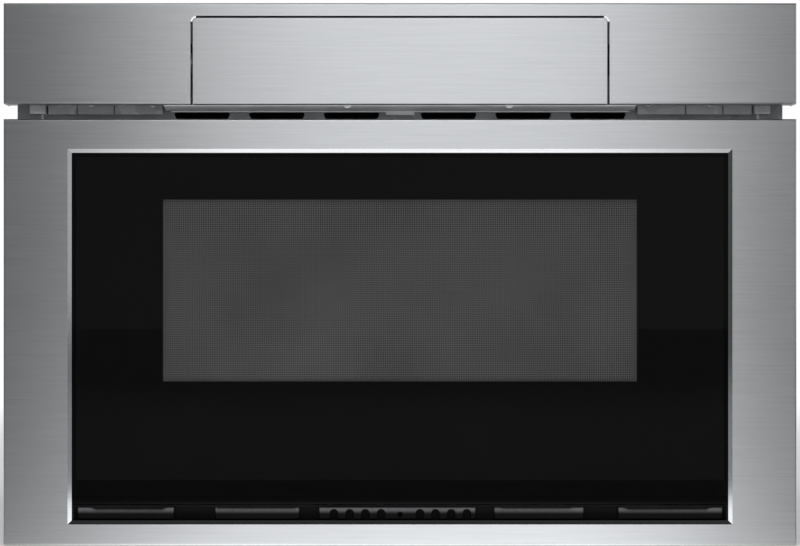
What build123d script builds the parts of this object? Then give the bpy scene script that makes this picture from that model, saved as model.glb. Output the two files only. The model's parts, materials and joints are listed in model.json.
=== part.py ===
from build123d import *
import os
from math import acos, atan2, cos, pi, radians, sin, sqrt, tan

# A built-in microwave oven whose cooking bin slides out of a cabinet like a drawer.
# Millimetres. +Z is up, -Y is the front, X = 0 is the centre line.
# Y = 0 is the face of the cabinet, Z = 0 is the sill of the cut-out that the base rests on.

CUT = 1.0  # how far a cutting tool runs past a face
SLOT_END = 0.48  # corner radius of a slot with round ends, as a share of its width
SLOPE = 0.8  # chamfer of a pressed step, as a share of its height

# ---------------------------------------------------------------- cooking bin and cavity
BIN_W = 439.7  # inside
BIN_H = 181.0
BIN_D = 420.7
BIN_T = 1.0
BIN_R = 14.0  # inside corners at the rear
BIN_RIM = 5.0  # width and height of the rolled rim
RIM_ROUND = 1.2
BIN_FLOOR_Z = 86.0  # top of the glass plate
PLATE_T = 5.0  # glass-ceramic plate in the bin's floor
PLATE_PLAY = 0.5
INNER_GLASS_T = 4.0
INNER_GLASS_PLAY = 0.4
BIN_PLAY_LOW = 4.0  # gap below the bin
BIN_PLAY_TOP = 7.0  # gap above its rim
BIN_PLAY_SIDE = 7.0  # gap beside its rim
BIN_PLAY_BACK = 12.0
CAVITY_T = 0.8
CHOKE_W = 22.0  # choke channel round the cavity mouth
CHOKE_COVER_T = 3.0
COVER_IN = 1.0  # choke cover's inner edge outside the cavity mouth
COVER_OUT = 1.5  # its outer edge past the choke channel
COVER_ROUND = 0.8
TOP_LAP = 4.0  # choke cover's drop below the top of the mouth
DOOR_PLAY = 1.8  # choke cover to front plate

# ---------------------------------------------------------------- slides and drive
BIN_STAYS = 39.7  # rear of the bin that stays in the case at full stroke
SLIDE_OVERLAP = 65.0  # slide that stays engaged
SLIDE_H = 45.0
SLIDE_T = 1.2
SLIDE_W = 12.8
SLIDE_PLAY = 0.3
SLIDE_Z = 45.0  # middle of the slides
SLIDE_START = 3.0  # front end of the fixed member, behind the front plate
MIDDLE_IN = 3.0  # web of the travelling member, in from the fixed member's face
MIDDLE_START = 6.0  # front end of the travelling member behind that of the fixed one
MIDDLE_SHORT = 22.0  # travelling member shorter than the fixed one
MIDDLE_EDGE = 1.6  # its flanges' edge from the arm
INNER_EDGE = 2.8  # drawer member's flanges' edge from the travelling member's web face
INNER_AHEAD = 2.0  # front end of the drawer member ahead of the fixed one
INNER_SHORT = 14.0
LIP_SHORT = 0.6  # fixed member's flanges' edge from the arm
STOP_T = 2.0
STOP_H = 16.0
STOP_OUT = 9.0
ARM_T = 2.0
ARM_H = 38.0
ARM_FOOT = 17.0
ARM_SHORT = 20.0  # arm's rear end in front of the fixed member's end
ARM_ROOM = 7.85  # choke cover to arm
SLOT_ROOM = 3.0  # arm to the edge of its slot in the front plate
SLOT_RISE = 2.0
CROSSBAR_D = 22.0
CROSSBAR_T = 1.5
CROSSBAR_STOP = 16.0  # crossbar behind the front plate at full stroke
RACK_MODULE = 2.0
RACK_W = 12.0
RACK_BODY = 7.5
RACK_ROOM = 2.5
RACK_LINE_Z = 36.0  # pitch line
PINION_TEETH = 14
PINION_Y = 26.0
PINION_W = 10.0
PRESSURE = 25.0  # degrees
DEDENDUM = 1.25  # of the module
BACKLASH = 0.12  # thinning of each tooth, of the module
SHAFT_R = 3.0
SHAFT_PLAY = 0.06
SHAFT_IN = 6.0
GEARBOX_X = 9.0
GEARBOX_W = 26.0
GEARBOX_FRONT = 16.0  # gearbox in front of and behind its output shaft
GEARBOX_BACK = 40.0
GEARBOX_UP = 12.0
GEARBOX_FOOT = 6.0
GEARBOX_FOOT_T = 5.0
GEARBOX_R = 4.0
MOTOR_R = 14.0
MOTOR_L = 52.0
MOTOR_ROUND = 2.0
MOTOR_BACK = 24.0  # motor axis behind the output shaft
MOTOR_DROP = 2.0
HOOK_T = 2.0
HOOK_IN = 11.0  # latch hooks in from the case sides
HOOK_Z = 105.0
HOOK_REACH = 22.0  # behind the front plate
HOOK_LOW = 6.0
HOOK_UP = 3.0
HOOK_FOOT = 12.0
HOOK_ROOM = 2.5
SWITCH_W = 6.0
SWITCH_D = 34.0
SWITCH_H = 32.0
SWITCH_END = 4.0
SWITCH_ROOM = 2.0  # hook to the switch's slot

# ---------------------------------------------------------------- stainless front
FRONT_LAP = 24.2  # front wider than the case on each side
FRONT_DROP = 18.0  # drawer front's lower edge below the sill
FRONT_PROUD = 35.0  # front faces ahead of the cabinet
DOOR_HEAD = 10.2  # drawer front's top above the choke cover
AIR_GAP = 11.6  # open gap between fascia and drawer front
FASCIA_H = 77.0
SKIN = 1.0  # stainless steel sheet
BEND_R = 1.4  # outer radius of its folds
DOOR_SHORT = 5.0  # drawer front's folds stop before the front plate
FASCIA_SHORT = 0.3
FASCIA_FOLD = 25.0  # depth of the fascia's lower fold

# window frame of the drawer front
SIDE_RAIL = 49.1  # steel left and right of the glass
TOP_RAIL = 22.8
BOTTOM_RAIL = 15.8
BEZEL = 2.9  # depth and width of the sloping edge round the glass
GLASS_PLAY = 0.1
GLASS_T = 4.0
GLASS_LAP = 9.0  # glass hidden behind the frame at the top and sides
GLASS_EDGE = 0.6
AIR_SLOT = 14.6  # open slot from the bottom rail up to the glass
TAPE_T = 2.0
TAPE_W = 12.0
CHANNEL_T = 1.2
CHANNEL_H = 7.0
CHANNEL_SHORT = 1.0  # channel's ends from the sloping edges
TAB_T = 1.5
TAB_SLOPE = 4.5
TABS = ((-207.5, 60.0, 2.2), (-110.0, 66.0, 1.4), (104.0, 60.0, 1.4), (204.5, 68.6, 2.2))  # X, width, hang
GRILLE_T = 0.8
GRILLE_RISE = 4.0
BAR_D = 3.2
BAR_DROP = 1.6  # bars' top below the glass
BAR_RISE = 1.5
BAR_ROUND = 1.4
BAR_INSET = 7.1  # outermost bars from the sides of the opening
BAR_ENDS = (-173.0, -141.6, -77.0, -62.0, 58.0, 72.0, 140.8, 167.0)  # all other ends, left to right
BAR_HOLES = (-50.6, -38.5, -26.5, -14.5, 15.3, 27.2, 39.2, 51.2)  # arched holes in the middle bar
BAR_HOLE_R = 3.3
PIN_HOLE_R = 2.2  # small round hole in the middle
WINDOW_W = 363.6
WINDOW_H = 139.8
WINDOW_Z = 176.6
WINDOW_R = 1.5
SCREEN_LAP = 8.0
SCREEN_T = 0.6
PANEL_T = 1.2
PANEL_MARGIN = 1.5
PANEL_FOLD = 12.0
PANEL_SCREW_IN = 12.2  # screws in from the sides of the drawer front
PANEL_SCREW_Z = (0.0, 150.0, 292.0)
BRACKET_D = 4.0
BRACKET_W = 12.0
BRACKET_H = 16.0

# ---------------------------------------------------------------- control flap
FLAP_W = 317.6
FLAP_GAP = 1.4  # dark gap round the flap
FLAP_TOP_DROP = 11.1  # flap's top edge below the fascia's top
FLAP_R = 3.2  # upper corners
FLAP_LIP = 8.0  # depth of the flap's folded edges
FLAP_ROUND = 0.6
HINGE_BACK = 3.6  # hinge axis behind the front face
HINGE_UP = 1.9  # hinge axis above the fascia's lower edge
PIN_R = 1.25
PIN_PLAY = 0.05
BOSS_R = 2.0
BOSS_L = 4.0
EAR_R = 2.3
EAR_T = 2.0
EAR_PLAY = 0.6
PIN_PAST = 0.8
MODULE_INSET = 8.8  # control module narrower than the flap on each side
MODULE_WALL = 2.0
MODULE_LOW = 0.3  # its underside above the hinge axis
MODULE_FOOT = 5.0  # its lower rear edge behind the hinge axis
TOUCH_T = 3.0
TOUCH_FRONT = -1.4  # front and rear edges of the touch glass, behind and above the hinge axis
TOUCH_FRONT_UP = 50.5
TOUCH_BACK = 40.0
TOUCH_BACK_UP = 38.0
DISPLAY_T = 1.6
DISPLAY_SHORT = 8.0
DISPLAY_FROM = 5.0  # board's front and rear edges along the touch glass
DISPLAY_TO = 34.0
SECTOR_MODULE = 1.0
SECTOR_TEETH = 52
SECTOR_T = 3.6
SECTOR_SKIN_GAP = 0.3
SECTOR_BEHIND = 8  # teeth either side of the one in mesh at rest
SECTOR_AHEAD = 2
FLAP_PINION_TEETH = 14
FLAP_PINION_W = 3.0
FLAP_PINION_AT = 60.0  # its direction from the hinge axis, in degrees from level
FLAP_SHAFT_R = 1.5
FLAP_SHAFT_PLAY = 0.1
FLAP_SHAFT_IN = 5.0
FLAP_MOTOR_R = 9.5
FLAP_MOTOR_L = 24.0
FLAP_MOTOR_ROUND = 1.5
HOUSING_T = 1.5
HOUSING_ROOM = 5.0  # behind the swinging module
HOUSING_GAP = 0.3  # round the housing in the front plate
HOUSING_SHELF = 18.0  # shelf above the hinge axis
HOOD_UP = 0.4
LIP_ROOM = 1.0
SWING_ROOM = 3.9  # hinge axis to the first fixed piece behind it
LUG_W = 16.0
LUG_T = 2.0
LUG_FROM = 22.0
LUG_TO = 46.0

# ---------------------------------------------------------------- gap between fascia and drawer front
DEFLECTOR_W = 362.0
DEFLECTOR_T = 0.8
DEFLECTOR_DROP = 3.2  # rear edge below the fascia's lower edge
DEFLECTOR_SHORT = 4.0  # rear edge in front of the front plate
DEFLECTOR_TAPER = 4.0
HEM_H = 0.8
HEM_TAB_W = 22.0
HEM_TAB_H = 2.2
AIR_HOLES = 7
AIR_HOLE_STEP = 50.5
AIR_HOLE_R = 0.9
AIR_HOLE_IN = 3.5
BUMPER_XS = (-40.2, 83.9)  # half-round tabs on the deflector's front edge
BUMPER_R = 3.3
BUMPER_T = 1.5
BUMPER_UP = 0.3  # their centres above the fascia's lower edge
VENT_FIRST = 37.6
VENT_STEP = 57.9
VENTS_A_SIDE = 3
VENT_W = 45.0
VENT_H = 12.0
VENT_TAPER = 6.2
VENT_R = 1.5
VENT_DROP = 4.9  # top of the vents below the fascia's lower edge
SKIRT_IN = 23.3  # bracket's inner end from the flap's opening
SKIRT_OUT = 7.3  # its outer end from the case side
SKIRT_DROP = 6.7  # its lower edge below the fascia
SKIRT_BACK = 8.0  # in front of the cabinet's face
SKIRT_SLITS = (22.2, 51.0)  # from its outer end
SLIT_W = 1.0
SHELF_D = 22.0
SHELF_T = 1.2
LEG_H = 24.0
SCREW_IN = 7.1  # fascia screws from the bracket's two ends
SCREW_OUT = 33.7
SCREW_BACK = 16.0  # in front of the cabinet's face
SIDE_STOP_W = 12.0
SIDE_STOP_D = 18.0
SIDE_STOP_T = 1.0
SIDE_STOP_GAP = 0.3
PEG_R = 1.0
PEG_IN = 3.0
PEG_BACK = 10.0
PEG_UP = 1.2

# ---------------------------------------------------------------- case
REAR_BAY = 126.2  # case behind the cavity
CASE_TOP_DROP = 23.3  # case top below the fascia's top
SHEET = 1.0
SEAT = 0.2  # shallow step in the front plate that the case sheets stand in
FOLD = 12.0  # folded joining edges of the case sheets
FLANGE_T = 1.2
FLANGE_IN = 6.7  # flange narrower than the front on each side
FLANGE_DROP = 10.0  # flange below the sill
FLANGE_RISE = 12.0  # flange above the case
FLANGE_R = 3.0
MOUNT_HOLE_R = 2.4
MOUNT_HOLE_IN = 7.6  # hole centre in from the flange's outer edge
MOUNT_HOLE_ZS = (70.0, 270.0)
RIB_X = 120.0
RIB_W = 24.0
RIB_H = 3.0
RIB_ROUND = 2.0
RIB_START = 120.0
RIB_SHORT = 90.0
BEAD_ZS = (120.0, 250.0)
BEAD_W = 14.0
BEAD_H = 1.4
BEAD_START = 60.0
BEAD_SHORT = 140.0
SIDE_SLOTS = 8
SIDE_SLOT_STEP = 9.0
SIDE_SLOT_W = 3.6
SIDE_SLOT_LOW = 180.0
SIDE_SLOT_H = 120.0
SIDE_SLOT_IN = 100.0
TOP_SLOTS = 12
TOP_SLOT_STEP = 10.0
TOP_SLOT_W = 4.0
TOP_SLOT_L = 50.0
TOP_SLOT_IN = 40.0
TOP_SLOT_X = -150.0
STEP_H = 1.5
STEP_IN = 70.0
STEP_R = 20.0
STEP_BACK = 130.0
INTAKE_ROWS = 12
INTAKE_COLUMNS = 6
INTAKE_X = 110.0
INTAKE_Z = 150.0
INTAKE_STEP_X = 22.0
INTAKE_STEP_Z = 12.0
INTAKE_W = 16.0
INTAKE_H = 5.0
PRESSING_H = 2.0
PRESSING_IN = 50.0
PRESSING_X = 70.0
PRESSING_Z = 120.0
PRESSING_R = 16.0
GLAND_SIDE = 54.0  # gland in from the left side of the case
GLAND_Z = 60.0
GLAND_R = 9.0
GLAND_PLAY = 0.2
GLAND_COLLAR = 4.0
GLAND_NUT = 3.0
GLAND_IN = 12.0
GLAND_OUT = 6.0
GLAND_ROUND = 1.0
CABLE_R = 4.5
SCREW_HEAD_R = 3.0
SCREW_HEAD_H = 2.2
SCREW_ROUND = 1.5
SCREW_CROSS = 0.8
SCREW_R = 1.5
SCREW_PLAY = 0.1
EDGE_SCREW_IN = 7.0
REAR_SCREWS = 5  # in each row of the rear cover
REAR_SCREW_IN = 24.0  # outer ones in from the case sides
LID_SCREWS = 4  # along each side of the lid
LID_SCREW_FRONT = 30.0
LID_SCREW_BACK = 28.7

# ---------------------------------------------------------------- microwave parts
RAIL_T = 1.5
RAIL_IN = 15.0
RAIL_UP = 20.0
RAIL_START = 40.0
LAMP_Y = 120.0
LAMP_Z = 245.0
LAMP_W = 36.0
LAMP_D = 16.0
LAMP_T = 1.5
LAMP_HOLES = 5
LAMP_HOLE_STEP = 5.0
LAMP_HOLE_R = 1.3
WELL_W = 190.0  # stirrer well over the ceiling
WELL_Y = 215.0
WELL_LIP = 6.0
MICA_T = 1.2
GUIDE_W = 86.0
GUIDE_H = 37.0
GUIDE_T = 1.0
GUIDE_END = 30.0  # guide's end in front of the case back
STIRRER_R = 78.0
STIRRER_BLADES = 3
BLADE_W = 30.0
BLADE_T = 1.2
BLADE_TILT = 14.0
STIRRER_UP = 14.0
STIRRER_PLAY = 0.3
STIRRER_HUB_R = 9.0
STIRRER_HUB_H = 12.0
STIRRER_MOTOR_R = 24.0
STIRRER_MOTOR_H = 15.0
STIRRER_MOTOR_ROUND = 1.5
MOTOR_EAR_W = 12.0
MOTOR_EAR_T = 1.5
MAGNETRON_BACK = 70.0  # its axis in front of the case back
MAGNETRON_W = 94.0
MAGNETRON_D = 80.0
MAGNETRON_H = 88.0
YOKE_T = 2.0
FILTER_W = 36.0
FILTER_H = 18.0
ANODE_R = 20.0
FINS = 6
FIN_T = 0.8
FIN_W = 80.0
FIN_STEP = 8.0
ANTENNA_R = 8.0
ANTENNA_L = 24.0
ANTENNA_ROOM = 8.0
FAN_R = 50.0
FAN_X = 96.0
FAN_BACK = 64.7  # its axis in front of the case back
FAN_Z = 220.0
FAN_FRAME = 7.0
FAN_PLAY = 2.0
FAN_D = 32.0
FAN_BLADES = 7
FAN_BLADE_T = 1.5
FAN_BLADE_W = 24.0
FAN_BLADE_PITCH = 52.0
FAN_HUB_R = 15.0
FAN_HUB_L = 18.0
FAN_SHAFT_R = 2.5
SPIDER_T = 2.0
SPIDER_W = 4.0
SPIDER_PLAY = 0.3
FAN_FOOT_W = 40.0
FAN_FOOT_T = 2.0
FAN_MOTOR_L = 28.0
FAN_MOTOR_W = 56.0
FAN_MOTOR_H = 42.0
FAN_MOTOR_R = 6.0
TRANSFORMER_SIDE = 89.0  # in from the left side of the case
TRANSFORMER_BACK = 68.0
CORE_W = 92.0
CORE_D = 80.0
CORE_H = 72.0
CORE_LIMB = 14.0
CORE_SLOT = 18.0
CORE_FOOT = 6.0
CORE_FOOT_T = 2.0
COIL_W = 62.0
COIL_D = 108.0
COIL_R = 12.0
COIL_PLAY = 0.3
COIL_SHORT = 1.0
CAPACITOR_SIDE = 189.0
CAPACITOR_BACK = 60.0
CAPACITOR_W = 52.0
CAPACITOR_D = 32.0
CAPACITOR_H = 84.0
CAN_ROUND = 1.5
TERMINAL_STEP = 24.0
TERMINAL_W = 6.0
TERMINAL_T = 0.8
TERMINAL_H = 8.0
STRAP_T = 1.8
STRAP_W = 12.0
STRAP_Z = 32.0
STRAP_PLAY = 0.2
DUCT_D = 70.0
DUCT_T = 1.5
DUCT_UP = 8.0
DUCT_DOWN = 1.0
DUCT_MARGIN = 8.0
DUCT_FOOT_W = 20.0
BOARD_T = 1.6
BOARD_EDGE = 6.0
STANDOFF_R = 3.0
STANDOFF_H = 12.0
POWER_BOARD_D = 76.0
POWER_BOARD_H = 110.0
POWER_BOARD_Z = 250.0
POWER_BOARD_BACK = 80.0
MAIN_BOARD_W = 96.0
MAIN_BOARD_D = 180.0
MAIN_BOARD_X = -162.0
MAIN_BOARD_Y = 170.0
CHOKE_COIL_R = 13.0
CHOKE_COIL_H = 22.0
RELAYS = 3
RELAY_L = 30.0
RELAY_W = 18.0
RELAY_H = 16.0
RELAY_STEP = 28.0

# ---------------------------------------------------------------- worked out from the above
BIN_HALF = BIN_W / 2
TRAVEL = BIN_D - BIN_STAYS  # drawer's stroke
BIN_RIM_Z = BIN_FLOOR_Z + BIN_H
BIN_LOW = BIN_FLOOR_Z - PLATE_T - BIN_T
CAVITY_HALF = BIN_HALF + BIN_RIM + BIN_PLAY_SIDE
CAVITY_LOW = BIN_LOW - BIN_PLAY_LOW
CAVITY_TOP = BIN_RIM_Z + BIN_PLAY_TOP
ROOF = CAVITY_TOP + CAVITY_T
ARM_X = CAVITY_HALF + CHOKE_W + COVER_OUT + ARM_ROOM + ARM_T  # outer face of the arms
CASE_IN = ARM_X + SLIDE_W
CASE_HALF = CASE_IN + SHEET
HALF_W = CASE_HALF + FRONT_LAP
FLANGE_HALF = HALF_W - FLANGE_IN
FRONT_Y = -FRONT_PROUD
FLANGE_Y = -FLANGE_T
COVER_BACK = FLANGE_Y - DOOR_PLAY
CHOKE_BACK = COVER_BACK - CHOKE_COVER_T
BIN_BACK = CHOKE_BACK + BIN_D
CAVITY_BACK = BIN_BACK + BIN_RIM + BIN_PLAY_BACK
CASE_D = CAVITY_BACK + CAVITY_T + REAR_BAY
DOOR_LOW = -FRONT_DROP
DOOR_TOP = CAVITY_TOP + CHOKE_W + COVER_OUT + DOOR_HEAD
FASCIA_LOW = DOOR_TOP + AIR_GAP
FASCIA_TOP = FASCIA_LOW + FASCIA_H
CASE_H = FASCIA_TOP - CASE_TOP_DROP
GLAND_X = GLAND_SIDE - CASE_HALF
TRANSFORMER_X = TRANSFORMER_SIDE - CASE_HALF
CAPACITOR_X = CAPACITOR_SIDE - CASE_HALF
REAR_SCREW_STEP = 2 * (CASE_HALF - REAR_SCREW_IN) / (REAR_SCREWS - 1)
REAR_SCREW_XS = [REAR_SCREW_IN - CASE_HALF + n * REAR_SCREW_STEP for n in range(REAR_SCREWS)]
LID_SCREW_STEP = (CASE_D - LID_SCREW_BACK - LID_SCREW_FRONT) / (LID_SCREWS - 1)
LID_SCREW_YS = [LID_SCREW_FRONT + n * LID_SCREW_STEP for n in range(LID_SCREWS)]
OPENING_HALF = HALF_W - SIDE_RAIL
OPENING_TOP = DOOR_TOP - TOP_RAIL
OPENING_LOW = DOOR_LOW + BOTTOM_RAIL
GLASS_Y = FRONT_Y + BEZEL + GLASS_PLAY
GLASS_BACK = GLASS_Y + GLASS_T
GLASS_LOW = OPENING_LOW + AIR_SLOT
GLASS_HALF = OPENING_HALF - BEZEL + GLASS_LAP
GLASS_TOP = OPENING_TOP - BEZEL + GLASS_LAP
PANEL_Y = GLASS_BACK + TAPE_T
PANEL_BACK = PANEL_Y + PANEL_T
PANEL_HALF = HALF_W - SKIN - PANEL_MARGIN
PANEL_LOW = DOOR_LOW + SKIN + PANEL_MARGIN
PANEL_HIGH = DOOR_TOP - SKIN - PANEL_MARGIN
PANEL_SCREWS = [(side * (HALF_W - PANEL_SCREW_IN), z) for side in (-1, 1) for z in PANEL_SCREW_Z]
SLOT_INNER_HALF = OPENING_HALF - BEZEL - CHANNEL_SHORT  # half width of what fills the air slot
GRILLE_Y = PANEL_Y - GRILLE_T
HINGE_Y = FRONT_Y + HINGE_BACK
HINGE_Z = FASCIA_LOW + HINGE_UP
FLAP_TOP = FASCIA_TOP - FLAP_TOP_DROP
FLAP_HALF = FLAP_W / 2
SLOT_HALF = FLAP_HALF + FLAP_GAP
SLOT_TOP = FLAP_TOP + FLAP_GAP
MODULE_HALF = FLAP_HALF - MODULE_INSET
MODULE_FRONT = FRONT_Y + SKIN - HINGE_Y
EAR_X = MODULE_HALF + BOSS_L + EAR_PLAY
EAR_OUT = EAR_X + EAR_T
HOUSING_BACK = HINGE_Y + TOUCH_BACK + HOUSING_ROOM
HOUSING_TOP = CASE_H - SHEET - SEAT
HOUSING_LOW = HINGE_Z - EAR_R
SHELF_Z = HINGE_Z + HOUSING_SHELF
HOOD_Z = SLOT_TOP + HOOD_UP
HOOD_FRONT = FRONT_Y + FLAP_LIP + LIP_ROOM
DEFLECTOR_FRONT = HINGE_Y + SWING_ROOM
DEFLECTOR_BACK = FLANGE_Y - DEFLECTOR_SHORT
DEFLECTOR_LOW = FASCIA_LOW - DEFLECTOR_DROP
SKIRT_X0 = SLOT_HALF + SKIRT_IN
SKIRT_X1 = CASE_HALF - SKIRT_OUT
SKIRT_LOW = FASCIA_LOW - SKIRT_DROP
FASCIA_SCREW_XS = [side * x for side in (-1, 1) for x in (SKIRT_X0 + SCREW_IN, SKIRT_X1 - SCREW_OUT)]
VENT_XS = [side * (VENT_FIRST + n * VENT_STEP) for side in (-1, 1) for n in range(VENTS_A_SIDE)]
SLIDE_L = TRAVEL + SLIDE_OVERLAP
SLIDE_END = SLIDE_START + SLIDE_L
CROSSBAR_Y = TRAVEL + CROSSBAR_STOP
RACK_TIP = RACK_LINE_Z - RACK_MODULE
RACK_ROOT = RACK_LINE_Z + DEDENDUM * RACK_MODULE
RACK_TOP = RACK_ROOT + RACK_BODY
PINION_Z = RACK_LINE_Z - RACK_MODULE * PINION_TEETH / 2
HOOK_X = CASE_IN - HOOK_IN
MAGNETRON_Y = CASE_D - MAGNETRON_BACK
FAN_Y = CASE_D - FAN_BACK
SPIDER_X = FAN_X + FAN_D / 2
SCREW_HOLE_R = SCREW_R + SCREW_PLAY


# ---------------------------------------------------------------- helpers
def block(x, y, z):
    """A box between the two values given for each axis, in either order."""
    size = [abs(b - a) for a, b in (x, y, z)]
    middle = [(a + b) / 2 for a, b in (x, y, z)]
    return Pos(*middle) * Box(*size)


def rod(start, axis, length, radius):
    """A round bar from start along X, Y or Z."""
    turned = {"X": Rot(0, 90, 0), "Y": Rot(-90, 0, 0), "Z": Rot(0, 0, 0)}[axis]
    bar = Cylinder(radius, length, align=(Align.CENTER, Align.CENTER, Align.MIN))
    return Pos(*start) * turned * bar


def hole(start, axis, depth, radius):
    """A round cutter through a sheet that begins at start; it runs past both faces."""
    back = {"X": (CUT, 0, 0), "Y": (0, CUT, 0), "Z": (0, 0, CUT)}[axis]
    return rod([a - b for a, b in zip(start, back)], axis, depth + 2 * CUT, radius)


def side_prism(points, x):
    """A prism with the (Y, Z) outline given, between two X values."""
    outline = make_face(Polyline(*[(0, y, z) for y, z in points], close=True))
    return Pos(min(x), 0, 0) * extrude(outline, abs(x[1] - x[0]), dir=(1, 0, 0))


def front_prism(points, y):
    """A prism with the (X, Z) outline given, between two Y values."""
    outline = make_face(Polyline(*[(px, 0, pz) for px, pz in points], close=True))
    return Pos(0, min(y), 0) * extrude(outline, abs(y[1] - y[0]), dir=(0, 1, 0))


def edges_in_plane(shape, axis, value):
    """Edges that lie wholly in the plane where that axis has that value."""
    return [e for e in shape.edges() if all(abs(getattr(v, axis) - value) < 1e-4 for v in (e @ 0, e @ 0.5, e @ 1))]


def edges_along(shape, axis, beyond=None):
    """Straight edges along an axis; beyond=("Z", value) keeps those past a value."""
    edges = shape.edges().filter_by(axis)
    return edges if beyond is None else [e for e in edges if getattr(e.center(), beyond[0]) > beyond[1]]


def screw(place, axis, shank):
    """A cross-head screw: the shank runs along axis from place, the head stands the other way."""
    turned = {"+Z": Rot(0, 0, 0), "-Z": Rot(180, 0, 0), "-Y": Rot(90, 0, 0)}[axis]
    head = rod((0, 0, -SCREW_HEAD_H), "Z", SCREW_HEAD_H, SCREW_HEAD_R)
    head = fillet(edges_in_plane(head, "Z", -SCREW_HEAD_H), SCREW_ROUND)
    for turn in (0, 90):
        head -= Rot(0, 0, turn) * Pos(0, 0, -SCREW_HEAD_H) * Box(SCREW_HEAD_R, SCREW_CROSS, SCREW_HEAD_H)
    return Pos(*place) * turned * (head + rod((0, 0, 0), "Z", shank, SCREW_R))


def save(name, *pieces):
    """Writes one sub-part; several solids are a group in one file."""
    solids = [solid for piece in pieces for solid in piece.solids()]
    export_step(Compound(children=solids) if len(solids) > 1 else solids[0], f"parts/{name}.step")


# ---------------------------------------------------------------- gears
def gear_outline(module, teeth, keep, first_angle):
    """Involute teeth about the X axis, in the YZ plane; tooth n is centred n steps past first_angle."""
    pitch_r = module * teeth / 2
    base_r = pitch_r * cos(radians(PRESSURE))
    tip_r = pitch_r + module
    root_r = pitch_r - DEDENDUM * module
    low_r = max(base_r, root_r)
    step = 2 * pi / teeth

    def roll(radius):
        lean = acos(min(1.0, base_r / radius))
        return tan(lean) - lean

    def at(radius, angle):
        return (0, radius * cos(angle), radius * sin(angle))

    half_base = pi / (2 * teeth) - BACKLASH * module / (2 * pitch_r) + roll(pitch_r)
    half_root = half_base - roll(low_r)
    radii = [low_r + (tip_r - low_r) * n / 4 for n in range(5)]
    edges = []
    for n in keep:
        centre = radians(first_angle) + n * step
        rising, falling = ([at(r, centre + way * (half_base - roll(r))) for r in radii] for way in (-1, 1))
        start, end = at(root_r, centre - half_root), at(root_r, centre + half_root)
        if base_r > root_r:
            edges.append(Line(start, rising[0]))
            edges.append(Line(falling[0], end))
        edges.append(Spline(*rising))
        edges.append(ThreePointArc(rising[-1], at(tip_r, centre), falling[-1]))
        edges.append(Spline(*falling[::-1]))
        if n != keep[-1] or len(keep) == teeth:
            middle = at(root_r, centre + step / 2)
            edges.append(ThreePointArc(end, middle, at(root_r, centre + step - half_root)))
    if len(keep) < teeth:
        first = at(root_r, radians(first_angle) + keep[0] * step - half_root)
        edges += [Line(end, (0, 0, 0)), Line((0, 0, 0), first)]
    return Face(Wire(edges))


def pinion(module, teeth, width, first_angle):
    """A whole gear with its axis on X and its middle at the origin."""
    outline = gear_outline(module, teeth, range(teeth), first_angle)
    return Pos(-width / 2, 0, 0) * extrude(outline, width, dir=(1, 0, 0))


# ---------------------------------------------------------------- stainless skins
def front_tray(low, high, back):
    """Stainless tray, open at the rear: front sheet with all four edges folded back."""
    outer = block((-HALF_W, HALF_W), (FRONT_Y, back), (low, high))
    outer = fillet(edges_in_plane(outer, "Y", FRONT_Y), BEND_R)
    inner_x = HALF_W - SKIN
    return outer - block((-inner_x, inner_x), (FRONT_Y + SKIN, back + CUT), (low + SKIN, high - SKIN))


def fascia_panel():
    """Full-width fascia; the opening for the flap runs out through its lower edge."""
    shell = front_tray(FASCIA_LOW, FASCIA_TOP, FLANGE_Y - FASCIA_SHORT)
    opening = block((-SLOT_HALF, SLOT_HALF), (FRONT_Y - CUT, FLANGE_Y), (FASCIA_LOW - CUT, SLOT_TOP))
    shell -= fillet(edges_along(opening, Axis.Y, ("Z", FASCIA_LOW)), FLAP_R + FLAP_GAP)
    inner_x = HALF_W - SKIN
    shell -= block((-inner_x, inner_x), (FRONT_Y + FASCIA_FOLD, FLANGE_Y), (FASCIA_LOW - CUT, FASCIA_LOW + SKIN))
    for x in FASCIA_SCREW_XS:
        shell -= hole((x, -SCREW_BACK, FASCIA_LOW), "Z", SKIN, SCREW_HOLE_R)
    return shell


def opening_outline(inset, y):
    """Rectangle of the glass opening at depth y, smaller by inset on each side."""
    x, low, high = OPENING_HALF - inset, OPENING_LOW + inset, OPENING_TOP - inset
    return make_face(Polyline((-x, y, low), (x, y, low), (x, y, high), (-x, y, high), close=True))


def skin_bracket(x, z):
    """Angle inside the tray's side that the inner panel is screwed to."""
    side = 1 if x > 0 else -1
    wall_x = side * (HALF_W - SKIN)
    span = (z - BRACKET_H / 2, z + BRACKET_H / 2)
    foot = block((x - side * BRACKET_W / 2, wall_x), (PANEL_Y - BRACKET_D, PANEL_Y), span)
    wall = block((wall_x, wall_x - side * PANEL_MARGIN), (PANEL_Y, FLANGE_Y - DOOR_SHORT - CUT), span)
    return foot + wall - hole((x, PANEL_Y - BRACKET_D, z), "Y", BRACKET_D, SCREW_HOLE_R)


def door_frame():
    """Stainless drawer front: folded tray, sloping edge round the glass, and its brackets."""
    shell = front_tray(DOOR_LOW, DOOR_TOP, FLANGE_Y - DOOR_SHORT)
    lip_x = OPENING_HALF + SKIN
    shell += block((-lip_x, lip_x), (FRONT_Y, FRONT_Y + BEZEL), (OPENING_LOW - SKIN, OPENING_TOP + SKIN))
    shell -= loft([opening_outline(0, FRONT_Y), opening_outline(BEZEL, FRONT_Y + BEZEL)])
    for x, z in PANEL_SCREWS:
        shell += skin_bracket(x, z)
    return shell


# ---------------------------------------------------------------- drawer front, behind the steel
def door_glass():
    """Tempered outer pane; its lower edge stands free above the air slot."""
    pane = block((-GLASS_HALF, GLASS_HALF), (GLASS_Y, GLASS_BACK), (GLASS_LOW, GLASS_TOP))
    return chamfer(edges_in_plane(pane, "Z", GLASS_LOW), GLASS_EDGE)


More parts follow.
